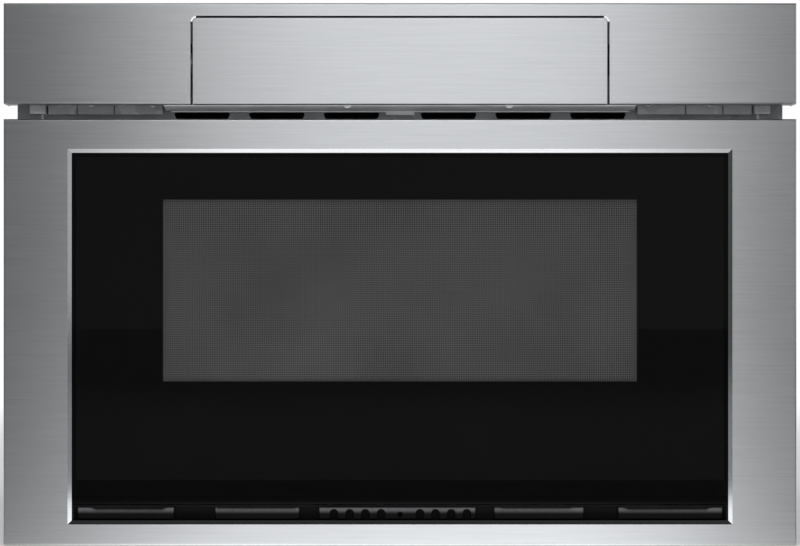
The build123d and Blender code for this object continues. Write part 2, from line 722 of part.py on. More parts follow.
def glass_tape():
    """Foam tape between the pane and the inner panel."""
    low = GLASS_LOW + CHANNEL_H
    inner_x = GLASS_HALF - TAPE_W
    ring = block((-GLASS_HALF, GLASS_HALF), (GLASS_BACK, PANEL_Y), (low, GLASS_TOP))
    inside = (low + TAPE_W, GLASS_TOP - TAPE_W)
    return ring - block((-inner_x, inner_x), (GLASS_BACK - CUT, PANEL_Y + CUT), inside)


def glass_channel():
    """Black channel on the pane's lower edge; its tabs hang into the air slot."""
    half = SLOT_INNER_HALF
    low = GLASS_LOW - CHANNEL_T
    back = GLASS_BACK + CHANNEL_T
    channel = block((-half, half), (GLASS_Y, back), (low, GLASS_LOW))
    channel += block((-half, half), (GLASS_BACK, back), (low, GLASS_LOW + CHANNEL_H))
    for middle, width, hang in TABS:
        left, right = middle - width / 2, middle + width / 2
        points = [(left, low), (left + TAB_SLOPE, low - hang), (right - TAB_SLOPE, low - hang), (right, low)]
        channel += front_prism(points, (GLASS_Y, GLASS_Y + TAB_T))
    return channel


def lower_grille():
    """Dark grille across the air slot: back strip, five raised bars, the middle one pierced."""
    floor = OPENING_LOW + BEZEL - CHANNEL_SHORT
    strip = (floor, GLASS_LOW + GRILLE_RISE)
    grille = block((-SLOT_INNER_HALF, SLOT_INNER_HALF), (GRILLE_Y, PANEL_Y), strip)
    low, top = floor + BAR_RISE, GLASS_LOW - BAR_DROP
    front = GRILLE_Y - BAR_D
    ends = (-OPENING_HALF + BAR_INSET, *BAR_ENDS, OPENING_HALF - BAR_INSET)
    for start, end in zip(ends[::2], ends[1::2]):
        bar = block((start, end), (front, GRILLE_Y), (low, top))
        grille += fillet(edges_in_plane(bar, "Y", front), BAR_ROUND)
    middle = (low + top) / 2
    for x in BAR_HOLES:
        grille -= rod((x, front - CUT, middle), "Y", BAR_D + CUT, BAR_HOLE_R)
        grille -= block((x - BAR_HOLE_R, x + BAR_HOLE_R), (front - CUT, GRILLE_Y), (low, middle))
    return grille - rod((0, front - CUT, middle - CUT), "Y", BAR_D + CUT, PIN_HOLE_R)


def mouth_ring(y, inside, outside):
    """Rectangular ring between two distances outside the cavity's mouth."""

    def sized(grow, reach):
        x, low, high = CAVITY_HALF + grow, CAVITY_LOW - grow, CAVITY_TOP + grow
        return block((-x, x), (y[0] - reach, y[1] + reach), (low, high))

    return sized(outside, 0) - sized(inside, CUT)


def door_inner_panel():
    """Pressed panel behind the glass, with the choke channel that closes the cavity."""
    panel = block((-PANEL_HALF, PANEL_HALF), (PANEL_Y, PANEL_BACK), (PANEL_LOW, PANEL_HIGH))
    span = (WINDOW_Z - WINDOW_H / 2, WINDOW_Z + WINDOW_H / 2)
    window = block((-WINDOW_W / 2, WINDOW_W / 2), (PANEL_Y - CUT, PANEL_BACK + CUT), span)
    panel -= fillet(edges_along(window, Axis.Y), WINDOW_R)
    panel += mouth_ring((PANEL_BACK, CHOKE_BACK), CHOKE_W - PANEL_T, CHOKE_W)
    panel += mouth_ring((PANEL_BACK, CHOKE_BACK), 0, PANEL_T)
    for z in (PANEL_LOW, PANEL_HIGH - PANEL_T):
        panel += block((-PANEL_HALF, PANEL_HALF), (PANEL_BACK, PANEL_BACK + PANEL_FOLD), (z, z + PANEL_T))
    for x, z in PANEL_SCREWS:
        panel -= hole((x, PANEL_Y, z), "Y", PANEL_T, SCREW_HOLE_R)
    return panel


def door_screen():
    """Metal screen behind the window. Its fine perforation is left to the finish."""
    x, z = WINDOW_W / 2 + SCREEN_LAP, WINDOW_H / 2 + SCREEN_LAP
    return block((-x, x), (PANEL_BACK, PANEL_BACK + SCREEN_T), (WINDOW_Z - z, WINDOW_Z + z))


def door_inner_glass():
    """Inner pane that closes the front of the bin."""
    x = CAVITY_HALF - INNER_GLASS_PLAY
    span = (CAVITY_LOW + INNER_GLASS_PLAY, CAVITY_TOP - INNER_GLASS_PLAY)
    return block((-x, x), (CHOKE_BACK - INNER_GLASS_T, CHOKE_BACK), span)


def choke_cover():
    """Black moulded ring over the choke; it faces the front plate."""
    ring = mouth_ring((CHOKE_BACK, COVER_BACK), COVER_IN, CHOKE_W + COVER_OUT)
    ring += block((-BIN_HALF, BIN_HALF), (CHOKE_BACK, COVER_BACK), (CAVITY_TOP - TOP_LAP, CAVITY_TOP + COVER_IN))
    return fillet(edges_in_plane(ring, "Y", COVER_BACK), COVER_ROUND)


def door_screws():
    """Screws that hold the inner panel in the stainless tray."""
    return [screw((x, PANEL_BACK, z), "-Y", PANEL_T + BRACKET_D) for x, z in PANEL_SCREWS]


# ---------------------------------------------------------------- bin
def bin_block(grow, low, high, front):
    """Solid the size of the bin's inside, larger by grow at the sides and back, with round rear corners."""
    x = BIN_HALF + grow
    body = block((-x, x), (front, BIN_BACK + grow), (low, high))
    return fillet(edges_along(body, Axis.Z, ("Y", 0)), BIN_R + grow)


def bin_tub():
    """Open-topped bin: floor, sides and back in one drawn sheet, rolled rim, front flange."""
    tub = bin_block(BIN_T, BIN_LOW, BIN_RIM_Z, CHOKE_BACK)
    tub += bin_block(BIN_RIM, BIN_RIM_Z - BIN_RIM, BIN_RIM_Z, CHOKE_BACK)
    span = (CAVITY_LOW + INNER_GLASS_PLAY, BIN_RIM_Z - BIN_RIM)
    tub += block((-CAVITY_HALF, CAVITY_HALF), (CHOKE_BACK, CHOKE_BACK + BIN_T), span)
    tub -= bin_block(0, BIN_LOW + BIN_T, BIN_RIM_Z + CUT, CHOKE_BACK - CUT)
    rim = [e for e in edges_in_plane(tub, "Z", BIN_RIM_Z) if e.center().Y > CHOKE_BACK + CUT]
    return fillet(rim, RIM_ROUND)


def bin_plate():
    """Glass-ceramic plate in the bin's floor."""
    x = BIN_HALF - PLATE_PLAY
    y = (CHOKE_BACK + PLATE_PLAY, BIN_BACK - PLATE_PLAY)
    plate = block((-x, x), y, (BIN_FLOOR_Z - PLATE_T, BIN_FLOOR_Z))
    return fillet(edges_along(plate, Axis.Z, ("Y", 0)), BIN_R)


# ---------------------------------------------------------------- slides
def rail(side, face, edge, height, y):
    """A C-shaped rail: its web's face and its flanges' edge lie that far in from the case side."""
    low, high = SLIDE_Z - height / 2, SLIDE_Z + height / 2
    web, lip = side * (CASE_IN - face), side * (CASE_IN - edge)
    inward = side if face > edge else -side
    section = block((web, web + inward * SLIDE_T), y, (low, high))
    for z in (low, high - SLIDE_T):
        section += block((web, lip), y, (z, z + SLIDE_T))
    return section


def slide_outer(side):
    """Fixed member on the case side, with a rear stop."""
    stop_x = (side * (CASE_IN - SLIDE_T), side * (CASE_IN - STOP_OUT))
    stop = block(stop_x, (SLIDE_END - STOP_T, SLIDE_END), (SLIDE_Z - STOP_H / 2, SLIDE_Z + STOP_H / 2))
    return rail(side, 0, SLIDE_W - LIP_SHORT, SLIDE_H, (SLIDE_START, SLIDE_END)) + stop


def slide_middle(side):
    """Travelling member; it moves half as far as the drawer."""
    height = SLIDE_H - 2 * (SLIDE_T + SLIDE_PLAY)
    start = SLIDE_START + MIDDLE_START
    return rail(side, MIDDLE_IN, SLIDE_W - MIDDLE_EDGE, height, (start, start + SLIDE_L - MIDDLE_SHORT))


def slide_inner(side):
    """Drawer member: its web lies on the arm, its flanges run inside the travelling member."""
    height = SLIDE_H - 4 * (SLIDE_T + SLIDE_PLAY)
    start = SLIDE_START - INNER_AHEAD
    return rail(side, SLIDE_W, MIDDLE_IN + INNER_EDGE, height, (start, start + SLIDE_L - INNER_SHORT))


def door_arm(side):
    """Steel arm from the inner panel back along the slide."""
    face = side * ARM_X
    span = (SLIDE_Z - ARM_H / 2, SLIDE_Z + ARM_H / 2)
    arm = block((face, face - side * ARM_T), (PANEL_BACK, SLIDE_END - ARM_SHORT), span)
    return arm + block((face, face + side * ARM_FOOT), (PANEL_BACK, PANEL_BACK + ARM_T), span)


def crossbar():
    """Channel that ties the rear of the two arms and carries the rack's end."""
    x = ARM_X - ARM_T
    high = SLIDE_Z + ARM_H / 2
    bar = block((-x, x), (CROSSBAR_Y, CROSSBAR_Y + CROSSBAR_D), (RACK_TOP, high))
    hollow_y = (CROSSBAR_Y + CROSSBAR_T, CROSSBAR_Y + CROSSBAR_D - CROSSBAR_T)
    return bar - block((-x + CROSSBAR_T, x - CROSSBAR_T), hollow_y, (RACK_TOP + CROSSBAR_T, high + CUT))


def latch_hook(side):
    """Hook on the inner panel that works the interlock."""
    x = (side * HOOK_X, side * (HOOK_X + HOOK_T))
    hook = block(x, (PANEL_BACK, HOOK_REACH), (HOOK_Z - HOOK_LOW, HOOK_Z + HOOK_UP))
    hook += block(x, (HOOK_REACH - HOOK_LOW, HOOK_REACH), (HOOK_Z, HOOK_Z + HOOK_LOW))
    foot_x = (side * HOOK_X, side * (HOOK_X + HOOK_FOOT))
    return hook + block(foot_x, (PANEL_BACK, PANEL_BACK + HOOK_T), (HOOK_Z - HOOK_LOW, HOOK_Z + HOOK_LOW))


# ---------------------------------------------------------------- drive
def drive_rack():
    """Straight rack under the bin, teeth downwards, in mesh with the pinion at rest."""
    pitch = pi * RACK_MODULE
    slope = tan(radians(PRESSURE))
    half = pitch / 4 - BACKLASH * RACK_MODULE / 2
    start, end = PANEL_BACK, CROSSBAR_Y + CROSSBAR_D
    wide = half + (RACK_ROOT - RACK_LINE_Z) * slope
    narrow = half - RACK_MODULE * slope
    middle = PINION_Y + pitch / 2
    middle -= pitch * int((middle - start) / pitch - 1)
    points = [(start, RACK_TOP), (start, RACK_ROOT)]
    while middle + pitch / 2 < end:
        points += [(middle - wide, RACK_ROOT), (middle - narrow, RACK_TIP)]
        points += [(middle + narrow, RACK_TIP), (middle + wide, RACK_ROOT)]
        middle += pitch
    points += [(end, RACK_ROOT), (end, RACK_TOP)]
    return side_prism(points, (-RACK_W / 2, RACK_W / 2))


def drive_pinion():
    """Pinion on its shaft, which turns in the gearbox."""
    gear = pinion(RACK_MODULE, PINION_TEETH, PINION_W, 90)
    shaft = rod((-PINION_W / 2, 0, 0), "X", PINION_W / 2 + GEARBOX_X + SHAFT_IN, SHAFT_R)
    return Pos(0, PINION_Y, PINION_Z) * (gear + shaft)


def drive_gearbox():
    """Gear case with its foot on the base, and the motor."""
    x = (GEARBOX_X, GEARBOX_X + GEARBOX_W)
    y = (PINION_Y - GEARBOX_FRONT, PINION_Y + GEARBOX_BACK)
    case = fillet(edges_along(block(x, y, (SHEET, PINION_Z + GEARBOX_UP)), Axis.X), GEARBOX_R)
    case += block(x, (y[0] - GEARBOX_FOOT, y[1] + GEARBOX_FOOT), (SHEET, SHEET + GEARBOX_FOOT_T))
    motor = rod((x[1], PINION_Y + MOTOR_BACK, PINION_Z - MOTOR_DROP), "X", MOTOR_L, MOTOR_R)
    case += fillet(edges_in_plane(motor, "X", x[1] + MOTOR_L), MOTOR_ROUND)
    return case - rod((x[0] - CUT, PINION_Y, PINION_Z), "X", SHAFT_IN + 2 * CUT, SHAFT_R + SHAFT_PLAY)


# ---------------------------------------------------------------- control flap
def from_hinge(points):
    """Points given back from and up from the hinge axis, as (Y, Z)."""
    return [(HINGE_Y + y, HINGE_Z + z) for y, z in points]


def below_touch(depth):
    """Front and rear points, from the hinge axis, of a line that deep under the touch glass's face."""
    run, rise = TOUCH_BACK - TOUCH_FRONT, TOUCH_BACK_UP - TOUCH_FRONT_UP
    length = sqrt(run * run + rise * rise)
    y, z = rise / length * depth, -run / length * depth
    return (TOUCH_FRONT + y, TOUCH_FRONT_UP + z), (TOUCH_BACK + y, TOUCH_BACK_UP + z)


def flap_front():
    """Stainless flap with its top and side edges folded back."""
    sheet = block((-FLAP_HALF, FLAP_HALF), (FRONT_Y, FRONT_Y + FLAP_LIP), (FASCIA_LOW, FLAP_TOP))
    sheet = fillet(edges_along(sheet, Axis.Y, ("Z", FASCIA_LOW + CUT)), FLAP_R)
    sheet = fillet(edges_in_plane(sheet, "Y", FRONT_Y), FLAP_ROUND)
    x = FLAP_HALF - SKIN
    hollow = block((-x, x), (FRONT_Y + SKIN, FRONT_Y + FLAP_LIP + CUT), (FASCIA_LOW - CUT, FLAP_TOP - SKIN))
    return sheet - fillet(edges_along(hollow, Axis.Y, ("Z", FASCIA_LOW + CUT)), FLAP_R - SKIN)


def touch_glass():
    """Glass with the touch keys, on the upper face of the control module."""
    top, under = below_touch(0), below_touch(TOUCH_T)
    return side_prism(from_hinge([top[0], top[1], under[1], under[0]]), (-MODULE_HALF, MODULE_HALF))


def display_board():
    """Circuit board under the touch glass."""
    length = sqrt((TOUCH_BACK - TOUCH_FRONT) ** 2 + (TOUCH_BACK_UP - TOUCH_FRONT_UP) ** 2)

    def along(line, reach):
        share = reach / length
        return tuple(a + (b - a) * share for a, b in zip(*line))

    top, low = below_touch(TOUCH_T), below_touch(TOUCH_T + DISPLAY_T)
    ends = (DISPLAY_FROM, DISPLAY_TO)
    outline = [along(top, reach) for reach in ends] + [along(low, reach) for reach in ends[::-1]]
    half = MODULE_HALF - DISPLAY_SHORT
    return side_prism(from_hinge(outline), (-half, half))


def flap_sector():
    """Teeth on the module's left end that the flap's motor drives."""
    keep = range(-SECTOR_BEHIND, SECTOR_AHEAD + 1)
    outline = gear_outline(SECTOR_MODULE, SECTOR_TEETH, keep, FLAP_PINION_AT + 180 / SECTOR_TEETH)
    reach = SECTOR_MODULE * SECTOR_TEETH
    room = block((-CUT, SECTOR_T + CUT), (MODULE_FRONT + SECTOR_SKIN_GAP, reach), (MODULE_LOW, reach))
    return Pos(-MODULE_HALF - SECTOR_T, HINGE_Y, HINGE_Z) * (extrude(outline, SECTOR_T, dir=(1, 0, 0)) & room)


def flap_module():
    """Black wedge under the touch glass, with its toothed sector and its two hinge pins."""
    front_under, back_under = below_touch(TOUCH_T)
    outline = [
        (MODULE_FRONT, MODULE_LOW),
        (MODULE_FRONT, front_under[1]),
        front_under,
        back_under,
        (MODULE_FOOT, MODULE_LOW),
    ]
    wall = MODULE_WALL
    lean = atan2(back_under[1] - MODULE_LOW, back_under[0] - MODULE_FOOT)
    shift = wall / sin(lean)
    hollow = [
        (MODULE_FRONT + wall, MODULE_LOW + wall),
        (MODULE_FRONT + wall, front_under[1] + CUT),
        (back_under[0] - shift, back_under[1] + CUT),
        (MODULE_FOOT - shift + wall / tan(lean), MODULE_LOW + wall),
    ]
    module = side_prism(from_hinge(outline), (-MODULE_HALF, MODULE_HALF))
    module -= side_prism(from_hinge(hollow), (-MODULE_HALF + wall, MODULE_HALF - wall))
    module += flap_sector()
    for side in (-1, 1):
        for length, radius in ((BOSS_L, BOSS_R), (EAR_OUT + PIN_PAST - MODULE_HALF, PIN_R)):
            start = MODULE_HALF if side > 0 else -MODULE_HALF - length
            module += rod((start, HINGE_Y, HINGE_Z), "X", length, radius)
    return module


def flap_pinion_centre():
    """(Y, Z) of the flap's pinion, at the working distance from the hinge axis."""
    reach = SECTOR_MODULE * (SECTOR_TEETH + FLAP_PINION_TEETH) / 2
    angle = radians(FLAP_PINION_AT)
    return HINGE_Y + reach * cos(angle), HINGE_Z + reach * sin(angle)


def flap_pinion():
    """Small pinion on the flap motor's shaft."""
    gear = pinion(SECTOR_MODULE, FLAP_PINION_TEETH, FLAP_PINION_W, FLAP_PINION_AT + 180)
    x = -MODULE_HALF - SECTOR_T / 2
    reach = x + EAR_OUT + FLAP_SHAFT_IN
    return Pos(x, *flap_pinion_centre()) * (gear + rod((-reach, 0, 0), "X", reach, FLAP_SHAFT_R))


def flap_motor():
    """Geared motor on the left side of the housing."""
    y, z = flap_pinion_centre()
    can = rod((-EAR_OUT - FLAP_MOTOR_L, y, z), "X", FLAP_MOTOR_L, FLAP_MOTOR_R)
    can = fillet(edges_in_plane(can, "X", -EAR_OUT - FLAP_MOTOR_L), FLAP_MOTOR_ROUND)
    depth = FLAP_SHAFT_IN + CUT
    return can - rod((-EAR_OUT - depth, y, z), "X", depth + CUT, FLAP_SHAFT_R + FLAP_SHAFT_PLAY)


def housing_side(side):
    """Side wall of the housing, with its hinge ear and its screw lug."""
    span = (side * EAR_X, side * EAR_OUT)
    outline = [
        (HINGE_Y, HOUSING_LOW),
        (FLANGE_Y, HOUSING_LOW),
        (FLANGE_Y, SHELF_Z),
        (HOUSING_BACK, SHELF_Z),
        (HOUSING_BACK, HOUSING_TOP),
        (FLANGE_Y, HOUSING_TOP),
        (FLANGE_Y, HOOD_Z + HOUSING_T),
        (HOOD_FRONT, HOOD_Z + HOUSING_T),
        (HOOD_FRONT, HINGE_Z + EAR_R),
        (HINGE_Y, HINGE_Z + EAR_R),
    ]
    wall = side_prism(outline, span) + rod((min(span), HINGE_Y, HINGE_Z), "X", EAR_T, EAR_R)
    wall -= hole((min(span), HINGE_Y, HINGE_Z), "X", EAR_T, PIN_R + PIN_PLAY)
    if side < 0:
        wall -= hole((min(span), *flap_pinion_centre()), "X", EAR_T, FLAP_SHAFT_R + FLAP_SHAFT_PLAY)
    lug_x = (side * EAR_OUT, side * (EAR_OUT + LUG_W))
    return wall + block(lug_x, (FLANGE_Y - LUG_T, FLANGE_Y), (HINGE_Z + LUG_FROM, HINGE_Z + LUG_TO))


def control_housing():
    """Black moulded box that the module swings out of; open at the front."""
    x = (-EAR_OUT, EAR_OUT)
    t = HOUSING_T
    housing = housing_side(1) + housing_side(-1)
    for y, z in (
        ((DEFLECTOR_FRONT, FLANGE_Y), (HOUSING_LOW, HOUSING_LOW + t)),
        ((FLANGE_Y - t, FLANGE_Y), (HOUSING_LOW, SHELF_Z + t)),
        ((FLANGE_Y - t, HOUSING_BACK), (SHELF_Z, SHELF_Z + t)),
        ((HOUSING_BACK - t, HOUSING_BACK), (SHELF_Z, HOUSING_TOP)),
        ((HOOD_FRONT, FLANGE_Y), (HOOD_Z, HOOD_Z + t)),
        ((FLANGE_Y - t, FLANGE_Y), (HOUSING_TOP + 2 * SEAT, HOOD_Z + t)),
    ):
        housing += block(x, y, z)
    return housing


# ---------------------------------------------------------------- gap between fascia and drawer front
def air_deflector():
    """Sloping strip under the fascia: air holes, hemmed rear edge, ledge to the front plate, bumpers."""
    t = DEFLECTOR_T
    front, back, high, low = DEFLECTOR_FRONT, DEFLECTOR_BACK, HOUSING_LOW, DEFLECTOR_LOW
    half = DEFLECTOR_W / 2
    outline = [
        (front, high),
        (back, low),
        (FLANGE_Y, low),
        (FLANGE_Y, low - t),
        (back, low - t),
        (back, low - t - HEM_H),
        (back - t, low - t - HEM_H),
        (back - t, low - t),
        (front, high - t),
    ]
    strip = side_prism(outline, (-half, half))
    strip += block((-HEM_TAB_W / 2, HEM_TAB_W / 2), (back - t, back), (low - t - HEM_H - HEM_TAB_H, low - t))
    for n in range(AIR_HOLES):
        x = (n - (AIR_HOLES - 1) / 2) * AIR_HOLE_STEP
        strip -= hole((x, back - AIR_HOLE_IN, low - t), "Z", high - low + t, AIR_HOLE_R)
    for side in (-1, 1):
        end_x = (side * (half - DEFLECTOR_TAPER), side * (half + CUT))
        strip -= block(end_x, (back - 2 * t, CUT), (low - t - HEM_H - CUT, high + CUT))
    for x in BUMPER_XS:
        bumper = rod((x, front - BUMPER_T, FASCIA_LOW + BUMPER_UP), "Y", BUMPER_T, BUMPER_R)
        keep_z = (FASCIA_LOW - 2 * BUMPER_R, high)
        strip += bumper & block((x - BUMPER_R, x + BUMPER_R), (front - BUMPER_T, front), keep_z)
    return strip


def vent_slots(y):
    """Cutters for the row of tapered exhaust slots."""
    top = FASCIA_LOW - VENT_DROP
    wide, narrow = VENT_W / 2, VENT_W / 2 - VENT_TAPER
    for x in VENT_XS:
        points = [(x - wide, top), (x + wide, top), (x + narrow, top - VENT_H), (x - narrow, top - VENT_H)]
        yield fillet(edges_along(front_prism(points, y), Axis.Y), VENT_R)


def fascia_bracket(side):
    """Angle that the fascia is screwed to; its slit skirt shows in the gap."""
    x = (side * SKIRT_X0, side * SKIRT_X1)
    low = FASCIA_LOW + SKIN
    bracket = block(x, (-SHELF_D, FLANGE_Y), (low, low + SHELF_T))
    bracket += block(x, (FLANGE_Y - SHELF_T, FLANGE_Y), (low, low + LEG_H))
    bracket += block(x, (-SKIRT_BACK - SHELF_T, -SKIRT_BACK), (SKIRT_LOW, low))
    for slit in SKIRT_SLITS:
        at = side * (SKIRT_X1 - slit)
        slit_x = (at - SLIT_W / 2, at + SLIT_W / 2)
        bracket -= block(slit_x, (-SKIRT_BACK - SHELF_T - CUT, -SKIRT_BACK + CUT), (SKIRT_LOW - CUT, FASCIA_LOW))
    for screw_x in FASCIA_SCREW_XS:
        bracket -= hole((screw_x, -SCREW_BACK, low), "Z", SHELF_T, SCREW_HOLE_R)
    return bracket


def side_stop(side):
    """Small box at the end of the gap that braces the fascia, with a rubber peg below it."""
    half = SIDE_STOP_W / 2
    x = (side * CASE_HALF - half, side * CASE_HALF + half)
    z = (SKIRT_LOW, FASCIA_LOW - SIDE_STOP_GAP)
    t = SIDE_STOP_T
    stop = block(x, (-SIDE_STOP_D, FLANGE_Y), z)
    stop -= block((x[0] + t, x[1] - t), (-SIDE_STOP_D + t, FLANGE_Y - t), (z[0] + t, z[1] + CUT))
    peg_z = DOOR_TOP + PEG_UP
    return stop + rod((side * (CASE_HALF - PEG_IN), -PEG_BACK, peg_z), "Z", z[0] - peg_z + t / 2, PEG_R)


# ---------------------------------------------------------------- case
def front_plate():
    """Front plate and mounting flange in one sheet: cavity mouth, slots, vents and screw holes."""
    x = FLANGE_HALF
    plate = block((-x, x), (FLANGE_Y, 0), (-FLANGE_DROP, CASE_H + FLANGE_RISE))
    plate = fillet(edges_along(plate, Axis.Y), FLANGE_R)
    plate -= block((-CASE_HALF, CASE_HALF), (-SEAT, CUT), (0, CASE_H))
    through = (FLANGE_Y - CUT, CUT)
    plate -= block((-CAVITY_HALF, CAVITY_HALF), through, (CAVITY_LOW, CAVITY_TOP))
    rise = SLIDE_H / 2 + SLOT_RISE
    for side in (-1, 1):
        slot_x = (side * (ARM_X - ARM_T - SLOT_ROOM), side * CASE_IN)
        plate -= block(slot_x, through, (SLIDE_Z - rise, SLIDE_Z + rise))
        hook_x = (side * (HOOK_X - HOOK_ROOM), side * (HOOK_X + HOOK_T + HOOK_ROOM))
        plate -= block(hook_x, through, (HOOK_Z - HOOK_LOW - HOOK_ROOM, HOOK_Z + HOOK_LOW + HOOK_ROOM))
        for z in MOUNT_HOLE_ZS:
            plate -= hole((side * (x - MOUNT_HOLE_IN), FLANGE_Y, z), "Y", FLANGE_T, MOUNT_HOLE_R)
    rack_x = RACK_W / 2 + RACK_ROOM
    plate -= block((-rack_x, rack_x), through, (RACK_TIP - RACK_ROOM, RACK_TOP + RACK_ROOM))
    housing_x = EAR_OUT + HOUSING_GAP
    plate -= block((-housing_x, housing_x), through, (SHELF_Z - HOUSING_GAP, CASE_H - SHEET))
    for slot in vent_slots(through):
        plate -= slot
    return plate


def base_pan():
    """Floor of the case with its sides and rear edge folded up, and two pressed ribs."""
    pan = block((-CASE_HALF, CASE_HALF), (0, CASE_D), (0, SHEET))
    for side in (-1, 1):
        pan += block((side * CASE_IN, side * (CASE_IN - SHEET)), (0, CASE_D - SHEET), (0, FOLD))
        rib_x = (side * RIB_X - RIB_W / 2, side * RIB_X + RIB_W / 2)
        rib = block(rib_x, (RIB_START, CASE_D - RIB_SHORT), (SHEET, SHEET + RIB_H))
        pan += fillet(edges_along(rib, Axis.Y, ("Z", SHEET + RIB_H / 2)), RIB_ROUND)
    pan += block((-CASE_IN + SHEET, CASE_IN - SHEET), (CASE_D - 2 * SHEET, CASE_D - SHEET), (SHEET, FOLD))
    for x in REAR_SCREW_XS:
        pan -= hole((x, CASE_D - 2 * SHEET, EDGE_SCREW_IN), "Y", SHEET, SCREW_HOLE_R)
    return pan


def side_panel(side):
    """Case side: folded top edge, two stiffening beads, a comb of air slots near the rear."""
    back = CASE_D - SHEET
    fold_z = (CASE_H - 2 * SHEET, CASE_H - SHEET)
    panel = block((side * CASE_IN, side * CASE_HALF), (-SEAT, back), (SHEET, CASE_H - SHEET))
    panel += block((side * CASE_IN, side * (CASE_IN - FOLD)), (-SEAT, back), fold_z)
    for n in range(SIDE_SLOTS):
        y = CASE_D - SIDE_SLOT_IN + n * SIDE_SLOT_STEP
        slot_x = (side * (CASE_IN - CUT), side * (CASE_HALF + CUT))
        slot = block(slot_x, (y, y + SIDE_SLOT_W), (SIDE_SLOT_LOW, SIDE_SLOT_LOW + SIDE_SLOT_H))
        panel -= fillet(edges_along(slot, Axis.X), SIDE_SLOT_W * SLOT_END)
    for z in BEAD_ZS:
        bead_x = (side * CASE_IN, side * (CASE_HALF + BEAD_H))
        bead = block(bead_x, (BEAD_START, CASE_D - BEAD_SHORT), (z - BEAD_W / 2, z + BEAD_W / 2))
        panel += chamfer(edges_in_plane(bead, "X", side * (CASE_HALF + BEAD_H)), BEAD_H * SLOPE)
    for y in LID_SCREW_YS:
        panel -= hole((side * (CASE_IN - EDGE_SCREW_IN), y, fold_z[0]), "Z", SHEET, SCREW_HOLE_R)
    return panel


def top_cover():
    """Case lid: raised field, air slots near the rear, rear edge folded down."""
    under = CASE_H - SHEET
    lid = block((-CASE_HALF, CASE_HALF), (-SEAT, CASE_D), (under, CASE_H))
    field_x = CASE_HALF - STEP_IN
    field = block((-field_x, field_x), (STEP_IN, CASE_D - STEP_BACK), (under, CASE_H + STEP_H))
    field = fillet(edges_along(field, Axis.Z), STEP_R)
    lid += chamfer(edges_in_plane(field, "Z", CASE_H + STEP_H), STEP_H * SLOPE)
    end = CASE_D - TOP_SLOT_IN
    for n in range(TOP_SLOTS):
        x = TOP_SLOT_X + n * TOP_SLOT_STEP
        slot = block((x, x + TOP_SLOT_W), (end - TOP_SLOT_L, end), (under - CUT, CASE_H + CUT))
        lid -= fillet(edges_along(slot, Axis.Z), TOP_SLOT_W * SLOT_END)
    fold_x = CASE_IN - FOLD - SHEET
    lid += block((-fold_x, fold_x), (CASE_D - 2 * SHEET, CASE_D - SHEET), (CASE_H - FOLD, under))
    for x in REAR_SCREW_XS:
        lid -= hole((x, CASE_D - 2 * SHEET, CASE_H - EDGE_SCREW_IN), "Y", SHEET, SCREW_HOLE_R)
    for x in (-CASE_IN + EDGE_SCREW_IN, CASE_IN - EDGE_SCREW_IN):
        for y in LID_SCREW_YS:
            lid -= hole((x, y, under), "Z", SHEET, SCREW_HOLE_R)
    return lid


def rear_cover():
    """Case back: intake grille beside the fan, pressed field, hole for the cable gland."""
    front = CASE_D - SHEET
    back = block((-CASE_HALF, CASE_HALF), (front, CASE_D), (SHEET, CASE_H - SHEET))
    for side in (-1, 1):
        fold_x = (side * CASE_IN, side * (CASE_IN - SHEET))
        back += block(fold_x, (CASE_D - FOLD, front), (FOLD + SHEET, CASE_H - 3 * SHEET))
    for row in range(INTAKE_ROWS):
        for column in range(INTAKE_COLUMNS):
            x, z = INTAKE_X + column * INTAKE_STEP_X, INTAKE_Z + row * INTAKE_STEP_Z
            slot_z = (z - INTAKE_H / 2, z + INTAKE_H / 2)
            slot = block((x - INTAKE_W / 2, x + INTAKE_W / 2), (front - CUT, CASE_D + CUT), slot_z)
            back -= fillet(edges_along(slot, Axis.Y), INTAKE_H * SLOT_END)
    field_x, field_z = (-CASE_HALF + PRESSING_IN, PRESSING_X), (PRESSING_Z, CASE_H - PRESSING_IN)
    field = fillet(edges_along(block(field_x, (front, CASE_D + PRESSING_H), field_z), Axis.Y), PRESSING_R)
    back += chamfer(edges_in_plane(field, "Y", CASE_D + PRESSING_H), PRESSING_H * SLOPE)
    for x in REAR_SCREW_XS:
        for z in (EDGE_SCREW_IN, CASE_H - EDGE_SCREW_IN):
            back -= hole((x, front, z), "Y", SHEET, SCREW_HOLE_R)
    return back - hole((GLAND_X, front, GLAND_Z), "Y", SHEET, GLAND_R)


def cable_gland():
    """Moulded bush for the supply cable, with a collar outside and a nut inside."""
    start = CASE_D - GLAND_IN
    collar = rod((GLAND_X, CASE_D, GLAND_Z), "Y", GLAND_COLLAR, GLAND_R + GLAND_COLLAR)
    body = fillet(edges_in_plane(collar, "Y", CASE_D + GLAND_COLLAR), GLAND_ROUND)
    body += rod((GLAND_X, start, GLAND_Z), "Y", GLAND_IN + GLAND_OUT, GLAND_R - GLAND_PLAY)
    body += rod((GLAND_X, CASE_D - SHEET - GLAND_NUT, GLAND_Z), "Y", GLAND_NUT, GLAND_R + GLAND_NUT)
    return body - hole((GLAND_X, start, GLAND_Z), "Y", GLAND_IN + GLAND_OUT, CABLE_R)


def chassis_screws():
    """Screws up through the fascia's lower fold, round the rear cover and along the lid."""
    screws = [screw((x, -SCREW_BACK, FASCIA_LOW), "+Z", SKIN + SHELF_T + CUT) for x in FASCIA_SCREW_XS]
    for x in REAR_SCREW_XS:
        for z in (EDGE_SCREW_IN, CASE_H - EDGE_SCREW_IN):
            screws.append(screw((x, CASE_D, z), "-Y", 2 * SHEET))
    for x in (-CASE_IN + EDGE_SCREW_IN, CASE_IN - EDGE_SCREW_IN):
        for y in LID_SCREW_YS:
            screws.append(screw((x, y, CASE_H), "-Z", 2 * SHEET))
    return screws


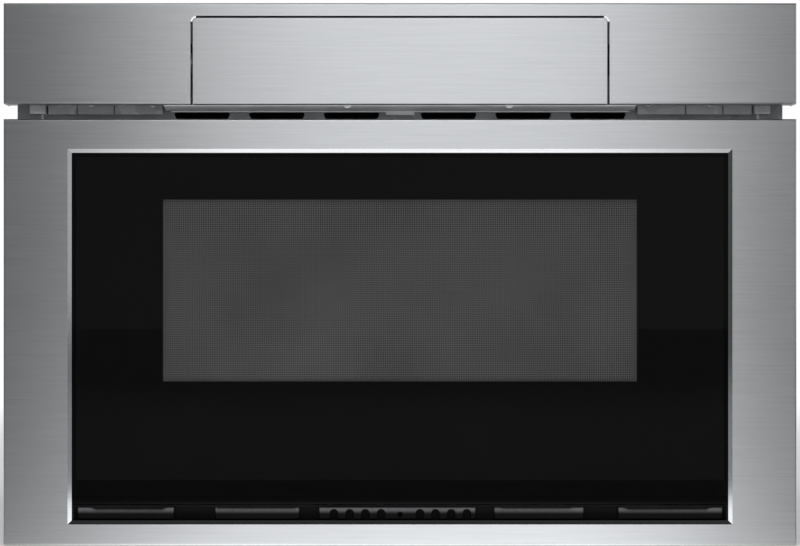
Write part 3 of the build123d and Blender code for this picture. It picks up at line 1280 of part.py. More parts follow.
# ---------------------------------------------------------------- cavity
def cavity_floor():
    """Lower plate of the cavity."""
    return block((-CAVITY_HALF, CAVITY_HALF), (-SEAT, CAVITY_BACK), (CAVITY_LOW - CAVITY_T, CAVITY_LOW))


def cavity_ceiling():
    """Upper plate of the cavity, open under the stirrer well."""
    plate = block((-CAVITY_HALF, CAVITY_HALF), (-SEAT, CAVITY_BACK), (CAVITY_TOP, ROOF))
    half = WELL_W / 2 - WELL_LIP
    return plate - block((-half, half), (WELL_Y - half, WELL_Y + half), (CAVITY_TOP - CUT, ROOF + CUT))


def cavity_side(side):
    """Side plate of the cavity; the right one is pierced for the lamp."""
    x = (side * CAVITY_HALF, side * (CAVITY_HALF + CAVITY_T))
    wall = block(x, (-SEAT, CAVITY_BACK), (CAVITY_LOW - CAVITY_T, ROOF))
    steps = [LAMP_HOLE_STEP * (n - (LAMP_HOLES - 1) / 2) for n in range(LAMP_HOLES if side > 0 else 0)]
    for dy in steps:
        for dz in steps:
            wall -= hole((CAVITY_HALF, LAMP_Y + dy, LAMP_Z + dz), "X", CAVITY_T, LAMP_HOLE_R)
    return wall


def cavity_rear():
    """Back plate of the cavity."""
    x = CAVITY_HALF + CAVITY_T
    return block((-x, x), (CAVITY_BACK, CAVITY_BACK + CAVITY_T), (CAVITY_LOW - CAVITY_T, ROOF))


def cavity_rail(side):
    """Angle on the case side that the cavity stands on, clear of the slides below it."""
    high = CAVITY_LOW - CAVITY_T
    y = (RAIL_START, CAVITY_BACK)
    angle = block((side * (CAVITY_HALF - RAIL_IN), side * CASE_IN), y, (high - RAIL_T, high))
    return angle + block((side * CASE_IN, side * (CASE_IN - RAIL_T)), y, (high, high + RAIL_UP))


def cavity_lamp():
    """Lamp housing over the pierced patch on the cavity's right side."""
    x = CAVITY_HALF + CAVITY_T
    half, inner = LAMP_W / 2, LAMP_W / 2 - LAMP_T
    box = block((x, x + LAMP_D), (LAMP_Y - half, LAMP_Y + half), (LAMP_Z - half, LAMP_Z + half))
    box = fillet(edges_in_plane(box, "X", x + LAMP_D), LAMP_T)
    hollow_x = (x - CUT, x + LAMP_D - LAMP_T)
    return box - block(hollow_x, (LAMP_Y - inner, LAMP_Y + inner), (LAMP_Z - inner, LAMP_Z + inner))


# ---------------------------------------------------------------- microwave feed
def stirrer_cover():
    """Mica sheet under the opening in the ceiling."""
    half = WELL_W / 2
    return block((-half, half), (WELL_Y - half, WELL_Y + half), (CAVITY_TOP - MICA_T, CAVITY_TOP))


def wave_guide():
    """Rectangular tube from the magnetron, widened over the ceiling into the stirrer well."""
    t = GUIDE_T
    half, mouth = WELL_W / 2, GUIDE_W / 2
    well_end, end = WELL_Y + half, CASE_D - GUIDE_END
    high = ROOF + GUIDE_H
    guide = block((-half, half), (WELL_Y - half, well_end), (ROOF, high))
    guide += block((-mouth, mouth), (well_end, end), (ROOF, high))
    guide -= block((-half + t, half - t), (WELL_Y - half + t, well_end - t), (ROOF - CUT, high - t))
    guide -= block((-mouth + t, mouth - t), (well_end - 2 * t, end - t), (ROOF + t, high - t))
    guide -= hole((0, MAGNETRON_Y, ROOF), "Z", t, ANTENNA_R + ANTENNA_ROOM)
    return guide - hole((0, WELL_Y, high - t), "Z", t, SHAFT_R + STIRRER_PLAY)


def stirrer_motor():
    """Small synchronous motor on the well, with its mounting ears."""
    low = ROOF + GUIDE_H
    body = rod((0, WELL_Y, low), "Z", STIRRER_MOTOR_H, STIRRER_MOTOR_R)
    body = fillet(edges_in_plane(body, "Z", low + STIRRER_MOTOR_H), STIRRER_MOTOR_ROUND)
    ear_x, ear_y = STIRRER_MOTOR_R + MOTOR_EAR_W, MOTOR_EAR_W / 2
    body += block((-ear_x, ear_x), (WELL_Y - ear_y, WELL_Y + ear_y), (low, low + MOTOR_EAR_T))
    return body - rod((0, WELL_Y, low - CUT), "Z", SHAFT_IN + 2 * CUT, SHAFT_R + SHAFT_PLAY)


def stirrer():
    """Slow-turning metal stirrer: hub, shaft and tilted blades."""
    low = ROOF + STIRRER_UP
    whole = rod((0, WELL_Y, low), "Z", GUIDE_H + SHAFT_IN - STIRRER_UP, SHAFT_R)
    whole += rod((0, WELL_Y, low - STIRRER_HUB_H / 2), "Z", STIRRER_HUB_H, STIRRER_HUB_R)
    for n in range(STIRRER_BLADES):
        blade = Box(STIRRER_R - SHAFT_R, BLADE_W, BLADE_T, align=(Align.MIN, Align.CENTER, Align.CENTER))
        turn = Rot(0, 0, 360 * n / STIRRER_BLADES)
        whole += Pos(0, WELL_Y, low) * turn * Pos(SHAFT_R, 0, 0) * Rot(BLADE_TILT, 0, 0) * blade
    return whole


def magnetron():
    """Magnetron: yoke, anode, cooling fins, filter box and antenna."""
    x, y, low = MAGNETRON_W / 2, MAGNETRON_D / 2, ROOF - MAGNETRON_H
    yoke_z = low + FILTER_H
    inner_y = (MAGNETRON_Y - y + YOKE_T, MAGNETRON_Y + y - YOKE_T)
    body = block((-x, x), (MAGNETRON_Y - y, MAGNETRON_Y + y), (yoke_z, ROOF))
    body -= block((-x - CUT, x + CUT), inner_y, (yoke_z + YOKE_T, ROOF - YOKE_T))
    body += rod((0, MAGNETRON_Y, yoke_z), "Z", ROOF - yoke_z, ANODE_R)
    for n in range(FINS):
        z = yoke_z + FIN_STEP * (n + 1)
        body += block((-FIN_W / 2, FIN_W / 2), inner_y, (z, z + FIN_T))
    filter_y = (MAGNETRON_Y - FILTER_W / 2, MAGNETRON_Y + FILTER_W / 2)
    body += block((-FILTER_W / 2, FILTER_W / 2), filter_y, (low, yoke_z))
    return body + rod((0, MAGNETRON_Y, ROOF), "Z", ANTENNA_L, ANTENNA_R)


# ---------------------------------------------------------------- cooling and electrics
def fan_shroud():
    """Square fan frame with a round throat and a spider, on a foot from the base."""
    half = FAN_R + FAN_FRAME
    x = (SPIDER_X - FAN_D, SPIDER_X)
    frame = block(x, (FAN_Y - half, FAN_Y + half), (FAN_Z - half, FAN_Z + half))
    frame = fillet(edges_along(frame, Axis.X), FAN_FRAME)
    frame -= hole((x[0], FAN_Y, FAN_Z), "X", FAN_D, FAN_R + FAN_PLAY)
    arm_y = FAN_R + FAN_PLAY + CUT
    for turn in (45, 135):
        arm = block((SPIDER_X - SPIDER_T, SPIDER_X), (-arm_y, arm_y), (-SPIDER_W / 2, SPIDER_W / 2))
        frame += Pos(0, FAN_Y, FAN_Z) * Rot(turn, 0, 0) * arm
    frame += rod((SPIDER_X - SPIDER_T, FAN_Y, FAN_Z), "X", SPIDER_T, FAN_HUB_R)
    foot_y = FAN_FOOT_W / 2
    foot = block(x, (FAN_Y - foot_y, FAN_Y + foot_y), (SHEET, FAN_Z - half))
    inner_y = foot_y - FAN_FOOT_T
    foot_z = (SHEET + FAN_FOOT_T, FAN_Z - half - FAN_FOOT_T)
    foot -= block((x[0] - CUT, x[1] - FAN_FOOT_T), (FAN_Y - inner_y, FAN_Y + inner_y), foot_z)
    return frame + foot - hole((SPIDER_X - SPIDER_T, FAN_Y, FAN_Z), "X", SPIDER_T, FAN_SHAFT_R + SPIDER_PLAY)


def fan_motor():
    """Shaded-pole motor on the shroud's spider."""
    y, z = FAN_MOTOR_W / 2, FAN_MOTOR_H / 2
    body = block((SPIDER_X, SPIDER_X + FAN_MOTOR_L), (FAN_Y - y, FAN_Y + y), (FAN_Z - z, FAN_Z + z))
    body = fillet(edges_along(body, Axis.X), FAN_MOTOR_R)
    return body - rod((SPIDER_X - CUT, FAN_Y, FAN_Z), "X", SHAFT_IN + 2 * CUT, FAN_SHAFT_R + SHAFT_PLAY)


def fan_blades():
    """Axial fan: hub, shaft and pitched blades, turned to the throat's size."""
    rear = SPIDER_X - SPIDER_T - FAN_X - FAN_BLADE_W / 2
    fan = rod((rear - FAN_HUB_L, 0, 0), "X", FAN_HUB_L, FAN_HUB_R)
    for n in range(FAN_BLADES):
        blade = Box(FAN_BLADE_T, FAN_R, FAN_BLADE_W, align=(Align.CENTER, Align.MIN, Align.CENTER))
        place = Pos(rear - FAN_HUB_L / 2, FAN_HUB_R / 2, 0) * Rot(0, FAN_BLADE_PITCH, 0)
        fan += Rot(n * 360 / FAN_BLADES, 0, 0) * place * blade
    fan = fan & rod((-FAN_D, 0, 0), "X", 2 * FAN_D, FAN_R)
    return Pos(FAN_X, FAN_Y, FAN_Z) * (fan + rod((0, 0, 0), "X", FAN_D / 2 + SHAFT_IN, FAN_SHAFT_R))


def transformer():
    """High-voltage transformer: laminated core on a foot, and the coil round its middle limb."""
    x, y, z = TRANSFORMER_X, CASE_D - TRANSFORMER_BACK, SHEET + CORE_FOOT_T
    half = CORE_D / 2
    core = block((x - CORE_W / 2, x + CORE_W / 2), (y - half, y + half), (z, z + CORE_H))
    window_z = (z + CORE_LIMB, z + CORE_H - CORE_LIMB)
    limb = CORE_W / 2 - CORE_LIMB - CORE_SLOT
    for side in (-1, 1):
        slot_x = (x + side * limb, x + side * (limb + CORE_SLOT))
        core -= block(slot_x, (y - half - CUT, y + half + CUT), window_z)
    foot_x = CORE_W / 2 + CORE_FOOT
    core += block((x - foot_x, x + foot_x), (y - half, y + half), (SHEET, z))
    coil_x, coil_y = COIL_W / 2, COIL_D / 2
    coil_z = (window_z[0] + COIL_SHORT, window_z[1] - COIL_SHORT)
    coil = block((x - coil_x, x + coil_x), (y - coil_y, y + coil_y), coil_z)
    coil = fillet(edges_along(coil, Axis.Z), COIL_R)
    hole_x, hole_y = limb + COIL_PLAY, half + COIL_PLAY
    return core, coil - block((x - hole_x, x + hole_x), (y - hole_y, y + hole_y), window_z)


def oval(place, grow, height):
    """Upright oval prism, larger than the capacitor's can by grow all round."""
    return extrude(Pos(*place) * SlotOverall(CAPACITOR_W + 2 * grow, CAPACITOR_D + 2 * grow), height)


def capacitor():
    """Oval high-voltage capacitor with two terminals, and the strap that holds it to the base."""
    x, y = CAPACITOR_X, CASE_D - CAPACITOR_BACK
    top = SHEET + CAPACITOR_H
    can = oval((x, y, SHEET), 0, CAPACITOR_H)
    can = fillet(edges_in_plane(can, "Z", top), CAN_ROUND)
    for side in (-1, 1):
        at = x + side * TERMINAL_STEP / 2
        can += block((at - TERMINAL_W / 2, at + TERMINAL_W / 2), (y, y + TERMINAL_T), (top, top + TERMINAL_H))
    band = oval((x, y, STRAP_Z), STRAP_PLAY + STRAP_T, STRAP_W) - oval((x, y, SHEET), STRAP_PLAY, CAPACITOR_H)
    leg_x = x + CAPACITOR_W / 2 + STRAP_PLAY
    leg_y = (y - STRAP_W / 2, y + STRAP_W / 2)
    leg = block((leg_x + STRAP_T / 2, leg_x + STRAP_T), leg_y, (SHEET, STRAP_Z + STRAP_W))
    return can, band + leg + block((leg_x + STRAP_T, leg_x + 2 * STRAP_W), leg_y, (SHEET, SHEET + STRAP_T))


def power_board():
    """Power board with choke coil and relays, on stand-offs from the left side."""
    face, y, z = -CASE_IN + STANDOFF_H, CASE_D - POWER_BOARD_BACK, POWER_BOARD_Z
    half_y, half_z = POWER_BOARD_D / 2, POWER_BOARD_H / 2
    top = face + BOARD_T
    board = block((face, top), (y - half_y, y + half_y), (z - half_z, z + half_z))
    for dy in (BOARD_EDGE - half_y, half_y - BOARD_EDGE):
        for dz in (BOARD_EDGE - half_z, half_z - BOARD_EDGE):
            board += rod((-CASE_IN, y + dy, z + dz), "X", STANDOFF_H, STANDOFF_R)
    board += rod((top, y - half_y / 2, z + half_z / 2), "X", CHOKE_COIL_H, CHOKE_COIL_R)
    for relay_y, relay_z in ((1, 1), (1, -1), (-1, -1)):
        at_y, at_z = y + relay_y * half_y / 2, z + relay_z * half_z / 2
        span = (at_z - RELAY_L / 2, at_z + RELAY_L / 2)
        board += block((top, top + RELAY_H), (at_y - RELAY_W / 2, at_y + RELAY_W / 2), span)
    return board


def main_board():
    """Main control board on stand-offs over the cavity."""
    x, y, z = MAIN_BOARD_X, MAIN_BOARD_Y, ROOF + STANDOFF_H
    half_x, half_y = MAIN_BOARD_W / 2, MAIN_BOARD_D / 2
    top = z + BOARD_T
    board = block((x - half_x, x + half_x), (y - half_y, y + half_y), (z, top))
    for dx in (BOARD_EDGE - half_x, half_x - BOARD_EDGE):
        for dy in (BOARD_EDGE - half_y, half_y - BOARD_EDGE):
            board += rod((x + dx, y + dy, ROOF), "Z", STANDOFF_H, STANDOFF_R)
    for n in range(RELAYS):
        at = y - half_y / 2 + (n - 1) * RELAY_STEP
        span = (x - half_x / 2 - RELAY_L / 2, x - half_x / 2 + RELAY_L / 2)
        board += block(span, (at - RELAY_W / 2, at + RELAY_W / 2), (top, top + RELAY_H))
    return board + rod((x + half_x / 2, y + half_y / 2, top), "Z", CHOKE_COIL_H, CHOKE_COIL_R)


def exhaust_duct():
    """Black duct behind the vent slots, open to the front, on two feet over the cavity."""
    half = max(VENT_XS) + VENT_W / 2 + DUCT_MARGIN
    low, high = ROOF + DUCT_UP, SHELF_Z - DUCT_DOWN
    t = DUCT_T
    duct = block((-half, half), (-SEAT, DUCT_D), (low, high))
    duct -= block((-half + t, half - t), (-SEAT - CUT, DUCT_D - t), (low + t, high - t))
    for side in (-1, 1):
        foot_x = (side * (half - 2 * DUCT_FOOT_W), side * (half - DUCT_FOOT_W))
        duct += block(foot_x, (DUCT_FOOT_W, 2 * DUCT_FOOT_W), (ROOF, low))
    return duct


def interlock_switch(side):
    """Switch block behind the front plate that the drawer's hook enters."""
    x = (side * (HOOK_X - SWITCH_W), side * (HOOK_X + HOOK_T + SWITCH_W))
    body = block(x, (-SEAT, SWITCH_D), (HOOK_Z - SWITCH_H / 2, HOOK_Z + SWITCH_H / 2))
    slot_x = (side * (HOOK_X - SWITCH_ROOM), side * (HOOK_X + HOOK_T + SWITCH_ROOM))
    rise = HOOK_LOW + SWITCH_ROOM
    return body - block(slot_x, (-SEAT - CUT, SWITCH_D - SWITCH_END), (HOOK_Z - rise, HOOK_Z + rise))


# ---------------------------------------------------------------- write every sub-part
PAIRS = {
    "slide_outer_rails": slide_outer,
    "slide_inner_rails": slide_inner,
    "door_arms": door_arm,
    "latch_hooks": latch_hook,
    "cavity_rails": cavity_rail,
    "interlock_switches": interlock_switch,
}
SINGLES = (
    fascia_panel,
    air_deflector,
    front_plate,
    base_pan,
    top_cover,
    rear_cover,
    cable_gland,
    cavity_floor,
    cavity_ceiling,
    cavity_rear,
    cavity_lamp,
    stirrer_cover,
    wave_guide,
    stirrer_motor,
    stirrer,
    magnetron,
    fan_shroud,
    fan_motor,
    fan_blades,
    exhaust_duct,
    drive_gearbox,
    drive_pinion,
    drive_rack,
    crossbar,
    control_housing,
    flap_front,
    flap_module,
    touch_glass,
    display_board,
    flap_pinion,
    flap_motor,
    door_frame,
    door_glass,
    glass_tape,
    glass_channel,
    lower_grille,
    door_inner_panel,
    door_screen,
    door_inner_glass,
    choke_cover,
    bin_tub,
    bin_plate,
)


def main():
    os.makedirs("parts", exist_ok=True)
    for name, side in (("right", 1), ("left", -1)):
        save(f"side_panel_{name}", side_panel(side))
        save(f"cavity_side_{name}", cavity_side(side))
        save(f"slide_middle_{name}", slide_middle(side))
    for name, make in PAIRS.items():
        save(name, make(1), make(-1))
    for make in SINGLES:
        save(make.__name__, make())
    save("fascia_brackets", *(make(side) for make in (fascia_bracket, side_stop) for side in (1, -1)))
    save("chassis_screws", *chassis_screws())
    save("door_screws", *door_screws())
    save("transformer", *transformer())
    save("capacitor", *capacitor())
    save("circuit_boards", power_board(), main_board())


main()
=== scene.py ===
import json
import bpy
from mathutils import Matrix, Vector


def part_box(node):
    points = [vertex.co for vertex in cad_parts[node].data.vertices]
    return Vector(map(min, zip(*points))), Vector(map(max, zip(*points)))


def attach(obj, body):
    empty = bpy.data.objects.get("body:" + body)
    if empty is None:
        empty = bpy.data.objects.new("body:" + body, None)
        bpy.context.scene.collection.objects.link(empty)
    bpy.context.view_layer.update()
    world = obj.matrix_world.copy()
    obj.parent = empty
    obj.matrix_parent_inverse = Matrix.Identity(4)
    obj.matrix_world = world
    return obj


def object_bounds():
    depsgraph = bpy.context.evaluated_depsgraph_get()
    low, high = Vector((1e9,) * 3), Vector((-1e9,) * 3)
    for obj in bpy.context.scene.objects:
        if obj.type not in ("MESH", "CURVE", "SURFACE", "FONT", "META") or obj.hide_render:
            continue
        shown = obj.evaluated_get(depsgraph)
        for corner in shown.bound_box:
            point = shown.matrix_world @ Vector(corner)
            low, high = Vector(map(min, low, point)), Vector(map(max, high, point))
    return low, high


bl_info = {
    "name": "Microwave Drawer Looks",
    "version": (1, 0, 0),
    "blender": (4, 5, 0),
    "location": "3D View > Sidebar > Drawer",
    "description": "Finishes, window screen, touch panel and studio of a microwave drawer",
    "category": "Object",
}

import bpy
from bpy.props import FloatProperty, FloatVectorProperty, IntProperty, PointerProperty
from mathutils import Matrix, Vector

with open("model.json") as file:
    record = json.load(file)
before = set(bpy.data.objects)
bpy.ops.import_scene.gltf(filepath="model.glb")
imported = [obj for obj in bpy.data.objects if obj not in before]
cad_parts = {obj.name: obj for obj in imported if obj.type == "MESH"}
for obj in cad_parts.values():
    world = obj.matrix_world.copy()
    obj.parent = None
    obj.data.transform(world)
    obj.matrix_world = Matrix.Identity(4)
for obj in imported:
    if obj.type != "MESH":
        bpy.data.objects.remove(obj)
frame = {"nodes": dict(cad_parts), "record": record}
CAD_BOX = [list(corner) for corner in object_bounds()]
NODES = frame["nodes"]
SLOTS = {part["node"]: part["material_slot"] for part in frame["record"]["subparts"]}
MM = 0.001
QUARTER_TURN = 1.5707963

# Noise values mostly lie between these two.
NOISE_RANGE = (0.3, 0.7)
# Across the width, tilted a little so that the side returns have a direction too.
GRAIN_AXIS = (1, 0, 0.08)
# The Y part of a normal on a bend or slope of the steel front.
BEND_SLOPE = (0.2, 0.92)
# How much of the steel's change in roughness comes from handling marks.
MARKS_SHARE = 0.4
# Shares of the grille's height between which the painted light on its bars sets in; below it is
# painted shade.
PAINTED_LIGHT_RISE = (0.33, 0.62)

# The black print: inset from the pane's edge, gap behind the pane, thickness.
PRINT_INSET = 0.3 * MM
PRINT_GAP = 0.02 * MM
PRINT_THICKNESS = 0.1 * MM

# Touch panel: places along X from its middle, and the display's form.
DIGITS_AT = 0.098
FUNCTIONS_AT = 0.0
DISPLAY_AT = -0.103
DISPLAY_CORNER = 2 * MM
DISPLAY_THICKNESS = 0.15 * MM
DIGIT_THICKNESS = 0.06 * MM
KEY_CORNER = 0.2

# Floor: gap under the object, half its width, and where the camera sees it fade to white.
FLOOR_GAP = 0.3 * MM
FLOOR_REACH = 9.0
FLOOR_FADE = (1.0, 3.0)
# Painted reflection: glossy rays see the floor dark in front of the first Y and plain behind the
# second.
PAINTED_DARK_END = (-0.1, 0.3)
PAINTED_DARK_SHARE = 0.96
# Painted glow on the floor, emitted for glossy rays only: its middle, its fading sides, the glow
# left beside it.
PAINTED_GLOW_MIDDLE = 0.002
PAINTED_GLOW_SIDES = (0.12, 0.37)
PAINTED_GLOW_SPILL = 0.18
# The painted glow starts between these Y values and is a little brighter close to the object.
PAINTED_GLOW_START = (-0.5, -0.3)
PAINTED_GLOW_NEAR = (-0.12, -0.04)
PAINTED_GLOW_LIFT = 0.2

# The room that polish mirrors, by the direction's X, Y or Z part.
GLOW_RISE = (0.06, 0.6)
LEAN_SPAN = (-0.3, 0.3)
LEAN_SHARE = 0.3
SIDE_WALL = (0.35, 0.9)
SIDE_GLOW = 0.42
CEILING_RISE = (0.4, 0.75)
CEILING_LEVEL = 0.1
BACK_SPAN = (0.0, 0.3)
BACK_RISE = (0.55, 0.9)
BACK_LEVEL = 0.2

# The softbox over the camera: X, height, and the point that it faces.
SOFTBOX_X = -0.015
SOFTBOX_HEIGHT = 1.75
SOFTBOX_TARGET = (0, 0, 0.2)
CLIP_RANGE = (0.05, 60)


# ---------------------------------------------------------------- sizes and colours
def length(name, description, default):
    """A length that the sidebar shows in scene units."""
    values = {"default": default, "min": 0, "precision": 5, "unit": "LENGTH"}
    return FloatProperty(name=name, description=description, **values)


def colour(name, description, default):
    """A linear colour with a picker in the sidebar."""
    values = {"default": default, "subtype": "COLOR", "min": 0, "max": 1}
    return FloatVectorProperty(name=name, description=description, **values)


def amount(name, description, default, high=1.0):
    """A plain number from 0 to high."""
    return FloatProperty(name=name, description=description, default=default, min=0, max=high)


def count(name, description, default, high):
    """A whole number from 1 to high."""
    return IntProperty(name=name, description=description, default=default, min=1, max=high)


class DrawerStudio(bpy.types.PropertyGroup):
    """Camera, floor, room and lamp"""

    distance: length("Camera Distance", "From the steel front to the camera", 2.33)
    width: length("View Width", "Width seen at the steel front", 0.6114)
    height: length("Camera Height", "Above the sill of the cabinet's cut-out", 0.19)
    floor: colour("Floor", "Colour of the floor", (0.9, 0.9, 0.9))
    room: amount("Room Light", "Even light from all round", 0.7, 5)
    dark: amount("Dark Level", "What polish mirrors at eye level behind the camera", 0.1, 5)
    glow: amount("Ceiling Glow", "What polish mirrors high up behind the camera", 0.36, 5)
    lean: amount("Side Glow", "How much brighter the right of the room is than its middle", 0.55, 5)
    softbox_width: length("Softbox Width", "Width of the tall lamp over the camera", 0.88)
    softbox_height: length("Softbox Height", "Height of the tall lamp over the camera", 1.5)
    softbox_power: amount("Softbox Power", "Power of the tall lamp in watts", 16.2, 1000)
    # Painted reflection: the floor's colour as glossy rays see it.
    cloth: colour("Dark Cloth", "What polish mirrors of the floor in front", (0.045, 0.045, 0.045))
    # Painted glow: the floor's emission as glossy rays see it.
    painted_glow: amount("Card Glow", "What polish mirrors of the lit card on the floor in front", 1.35, 5)


class DrawerSteel(bpy.types.PropertyGroup):
    """The brushed stainless front"""

    tone: colour("Steel", "Colour of the stainless front", (0.63, 0.645, 0.665))
    roughness: amount("Roughness", "Roughness of the brushed surface", 0.36)
    edge_roughness: amount("Bend Roughness", "Roughness of the bends and the pane's frame", 0.11)
    stretch: amount("Grain Stretch", "How much more the surface blurs across its grain", 0.95)
    grain: length("Grain Pitch", "Distance between brush lines", 0.0016)
    stroke: length("Grain Length", "Length of a brush line", 0.07)


class DrawerGlass(bpy.types.PropertyGroup):
    """The pane, its print and the screen in its window"""

    tint: colour("Pane Tint", "Colour of the smoked outer pane", (0.6, 0.6, 0.61))
    enamel: colour("Enamel", "Print round the window", (0.004, 0.004, 0.005))
    wire_tone: colour("Screen", "Colour of the perforated screen", (0.85, 0.85, 0.85))
    pitch: length("Screen Pitch", "Distance between the screen's holes", 0.00172)
    wire: length("Screen Web", "Metal between two holes", 0.00062)
    thickness: length("Screen Thickness", "Thickness of the screen", 0.0003)
    window_width: length("Window Width", "Width of the clear window", 0.3636)
    window_height: length("Window Height", "Height of the clear window", 0.1398)
    window_middle: length("Window Middle", "Height of the window's centre above the sill", 0.1766)


class DrawerWelds(bpy.types.PropertyGroup):
    """Spot welds along the case's seams"""

    spacing: length("Weld Spacing", "Distance between spot welds along a seam", 0.042)
    radius: length("Weld Radius", "Radius of a spot weld's dimple", 0.0022)
    rise: length("Weld Rise", "Height of a spot weld above the sheet", 0.00022)
    inset: length("Seam Inset", "Distance of a seam from the edge of the case", 0.006)


class DrawerKeys(bpy.types.PropertyGroup):
    """Print and display of the touch panel"""

    columns: count("Key Columns", "Digit keys side by side; the other group has one more", 5, 8)
    rows: count("Key Rows", "Rows of keys", 2, 2)
    pitch: length("Key Pitch", "Distance between keys", 0.0165)
    key: length("Key Size", "Width of a key's outline", 0.0128)
    line: length("Outline", "Thickness of a key's outline", 0.00022)
    digit: length("Digit Height", "Size of the digits", 0.0072)
    ink: colour("Ink", "Colour of outlines and digits", (0.72, 0.74, 0.76))
    display_width: length("Display Width", "Width of the display", 0.072)
    display_height: length("Display Height", "Height of the display", 0.021)
    display: colour("Display", "Colour of the unlit display", (0.012, 0.03, 0.035))


SETTINGS = {
    "drawer_studio": DrawerStudio,
    "drawer_steel": DrawerSteel,
    "drawer_glass": DrawerGlass,
    "drawer_welds": DrawerWelds,
    "drawer_keys": DrawerKeys,
}


# ---------------------------------------------------------------- node building
class Graph:
    """Adds nodes to a tree and links them in one call each."""

    def __init__(self, tree):
        self.tree = tree

    def add(self, kind, inputs=None, **settings):
        """A node with its settings; inputs are values or other nodes' sockets."""
        made = self.tree.nodes.new(kind)
        for key, value in settings.items():
            setattr(made, key, value)
        for key, value in (inputs or {}).items():
            if isinstance(value, bpy.types.NodeSocket):
                self.tree.links.new(value, made.inputs[key])
            else:
                made.inputs[key].default_value = value
        return made

    def math(self, operation, *values):
        return self.add("ShaderNodeMath", dict(enumerate(values)), operation=operation).outputs[0]

    def choose(self, factor, low, high):
        """Low where factor is 0 and high where it is 1."""
        inputs = {"Value": factor, "To Min": low, "To Max": high}
        return self.add("ShaderNodeMapRange", inputs).outputs[0]

    def ease(self, value, start, end, low, high):
        """Smooth change from low to high while value goes from start to end."""
        inputs = {"Value": value, "From Min": start, "From Max": end}
        inputs.update({"To Min": low, "To Max": high})
        return self.add("ShaderNodeMapRange", inputs, interpolation_type="SMOOTHSTEP").outputs[0]

    def vector(self, x=0.0, y=0.0, z=0.0):
        return self.add("ShaderNodeCombineXYZ", {"X": x, "Y": y, "Z": z}).outputs[0]

    def scatter(self, points, instance, **values):
        """One instance on each point of a geometry tree."""
        inputs = {"Points": points, "Instance": instance, **values}
        return self.add("GeometryNodeInstanceOnPoints", inputs).outputs[0]


class Finish(Graph):
    """A Principled material with its pattern nodes on the piece's own coordinates."""

    def __init__(self, name, tone, roughness, **values):
        self.material = bpy.data.materials.new(name)
        self.material.use_nodes = True
        super().__init__(self.material.node_tree)
        self.shader = self.tree.nodes["Principled BSDF"]
        self.shader.inputs["Base Color"].default_value = (*tone, 1)
        self.shader.inputs["Roughness"].default_value = roughness
        for key, value in values.items():
            self.shader.inputs[key.replace("_", " ")].default_value = value
        self.tone, self.roughness = Vector(tone), roughness
        self.place = self.add("ShaderNodeTexCoord").outputs["Object"]

    def stretched(self, x, y, z):
        """The piece's coordinates, scaled on each axis."""
        inputs = {"Vector": self.place, "Scale": (x, y, z)}
        return self.add("ShaderNodeMapping", inputs).outputs[0]

    def noise(self, scale, detail, place=None, rough=0.5):
        inputs = {"Vector": place or self.place, "Scale": scale}
        inputs.update({"Detail": detail, "Roughness": rough})
        return self.add("ShaderNodeTexNoise", inputs).outputs["Fac"]

    def cells(self, scale, output, place=None):
        inputs = {"Vector": place or self.place, "Scale": scale}
        return self.add("ShaderNodeTexVoronoi", inputs).outputs[output]

    def waves(self, scale, axis, distortion=0.0):
        inputs = {"Vector": self.place, "Scale": scale, "Distortion": distortion}
        return self.add("ShaderNodeTexWave", inputs, bands_direction=axis).outputs["Fac"]

    def spread(self, value, low, high):
        """The range of a noise brought to low and high."""
        start, end = NOISE_RANGE
        inputs = {"Value": value, "From Min": start, "From Max": end}
        inputs.update({"To Min": low, "To Max": high})
        return self.add("ShaderNodeMapRange", inputs).outputs[0]

    def vary_tone(self, value, dark, light, start=NOISE_RANGE[0], end=NOISE_RANGE[1]):
        """Base colour from dark to light times the tone, as value goes from start to end."""
        ramp = self.add("ShaderNodeValToRGB", {"Fac": value})
        for element, at, share in zip(ramp.color_ramp.elements, (start, end), (dark, light)):
            element.position = at
            element.color = (*(min(1.0, c * share) for c in self.tone), 1)
        self.tree.links.new(ramp.outputs["Color"], self.shader.inputs["Base Color"])
        return self

    def vary_roughness(self, value, low, high):
        """Roughness from low to high times its own value over the range of a noise."""
        socket = self.spread(value, self.roughness * low, min(1.0, self.roughness * high))
        self.tree.links.new(socket, self.shader.inputs["Roughness"])
        return self

    def emboss(self, value, depth, strength):
        """Bump of the given depth in metres."""
        inputs = {"Height": value, "Distance": depth, "Strength": strength}
        bump = self.add("ShaderNodeBump", inputs).outputs[0]
        self.tree.links.new(bump, self.shader.inputs["Normal"])
        return self

    def mottle(self, scale, detail, dark, light):
        """Tone that changes with noise."""
        return self.vary_tone(self.noise(scale, detail), dark, light)

    def wear(self, scale, detail, low, high):
        """Roughness that changes with noise."""
        return self.vary_roughness(self.noise(scale, detail), low, high)

    def grain(self, scale, detail, depth, strength):
        """Bump from noise."""
        return self.emboss(self.noise(scale, detail), depth, strength)


# ---------------------------------------------------------------- finishes
def bend_mask(f, normal):
    """1 on the slopes and bends between the front's flat faces and its returns."""
    facing = f.add("ShaderNodeSeparateXYZ", {0: normal}).outputs["Y"]
    slope = f.math("ABSOLUTE", facing)
    low, high = BEND_SLOPE
    return f.math("MULTIPLY", f.math("LESS_THAN", slope, high), f.math("GREATER_THAN", slope, low))


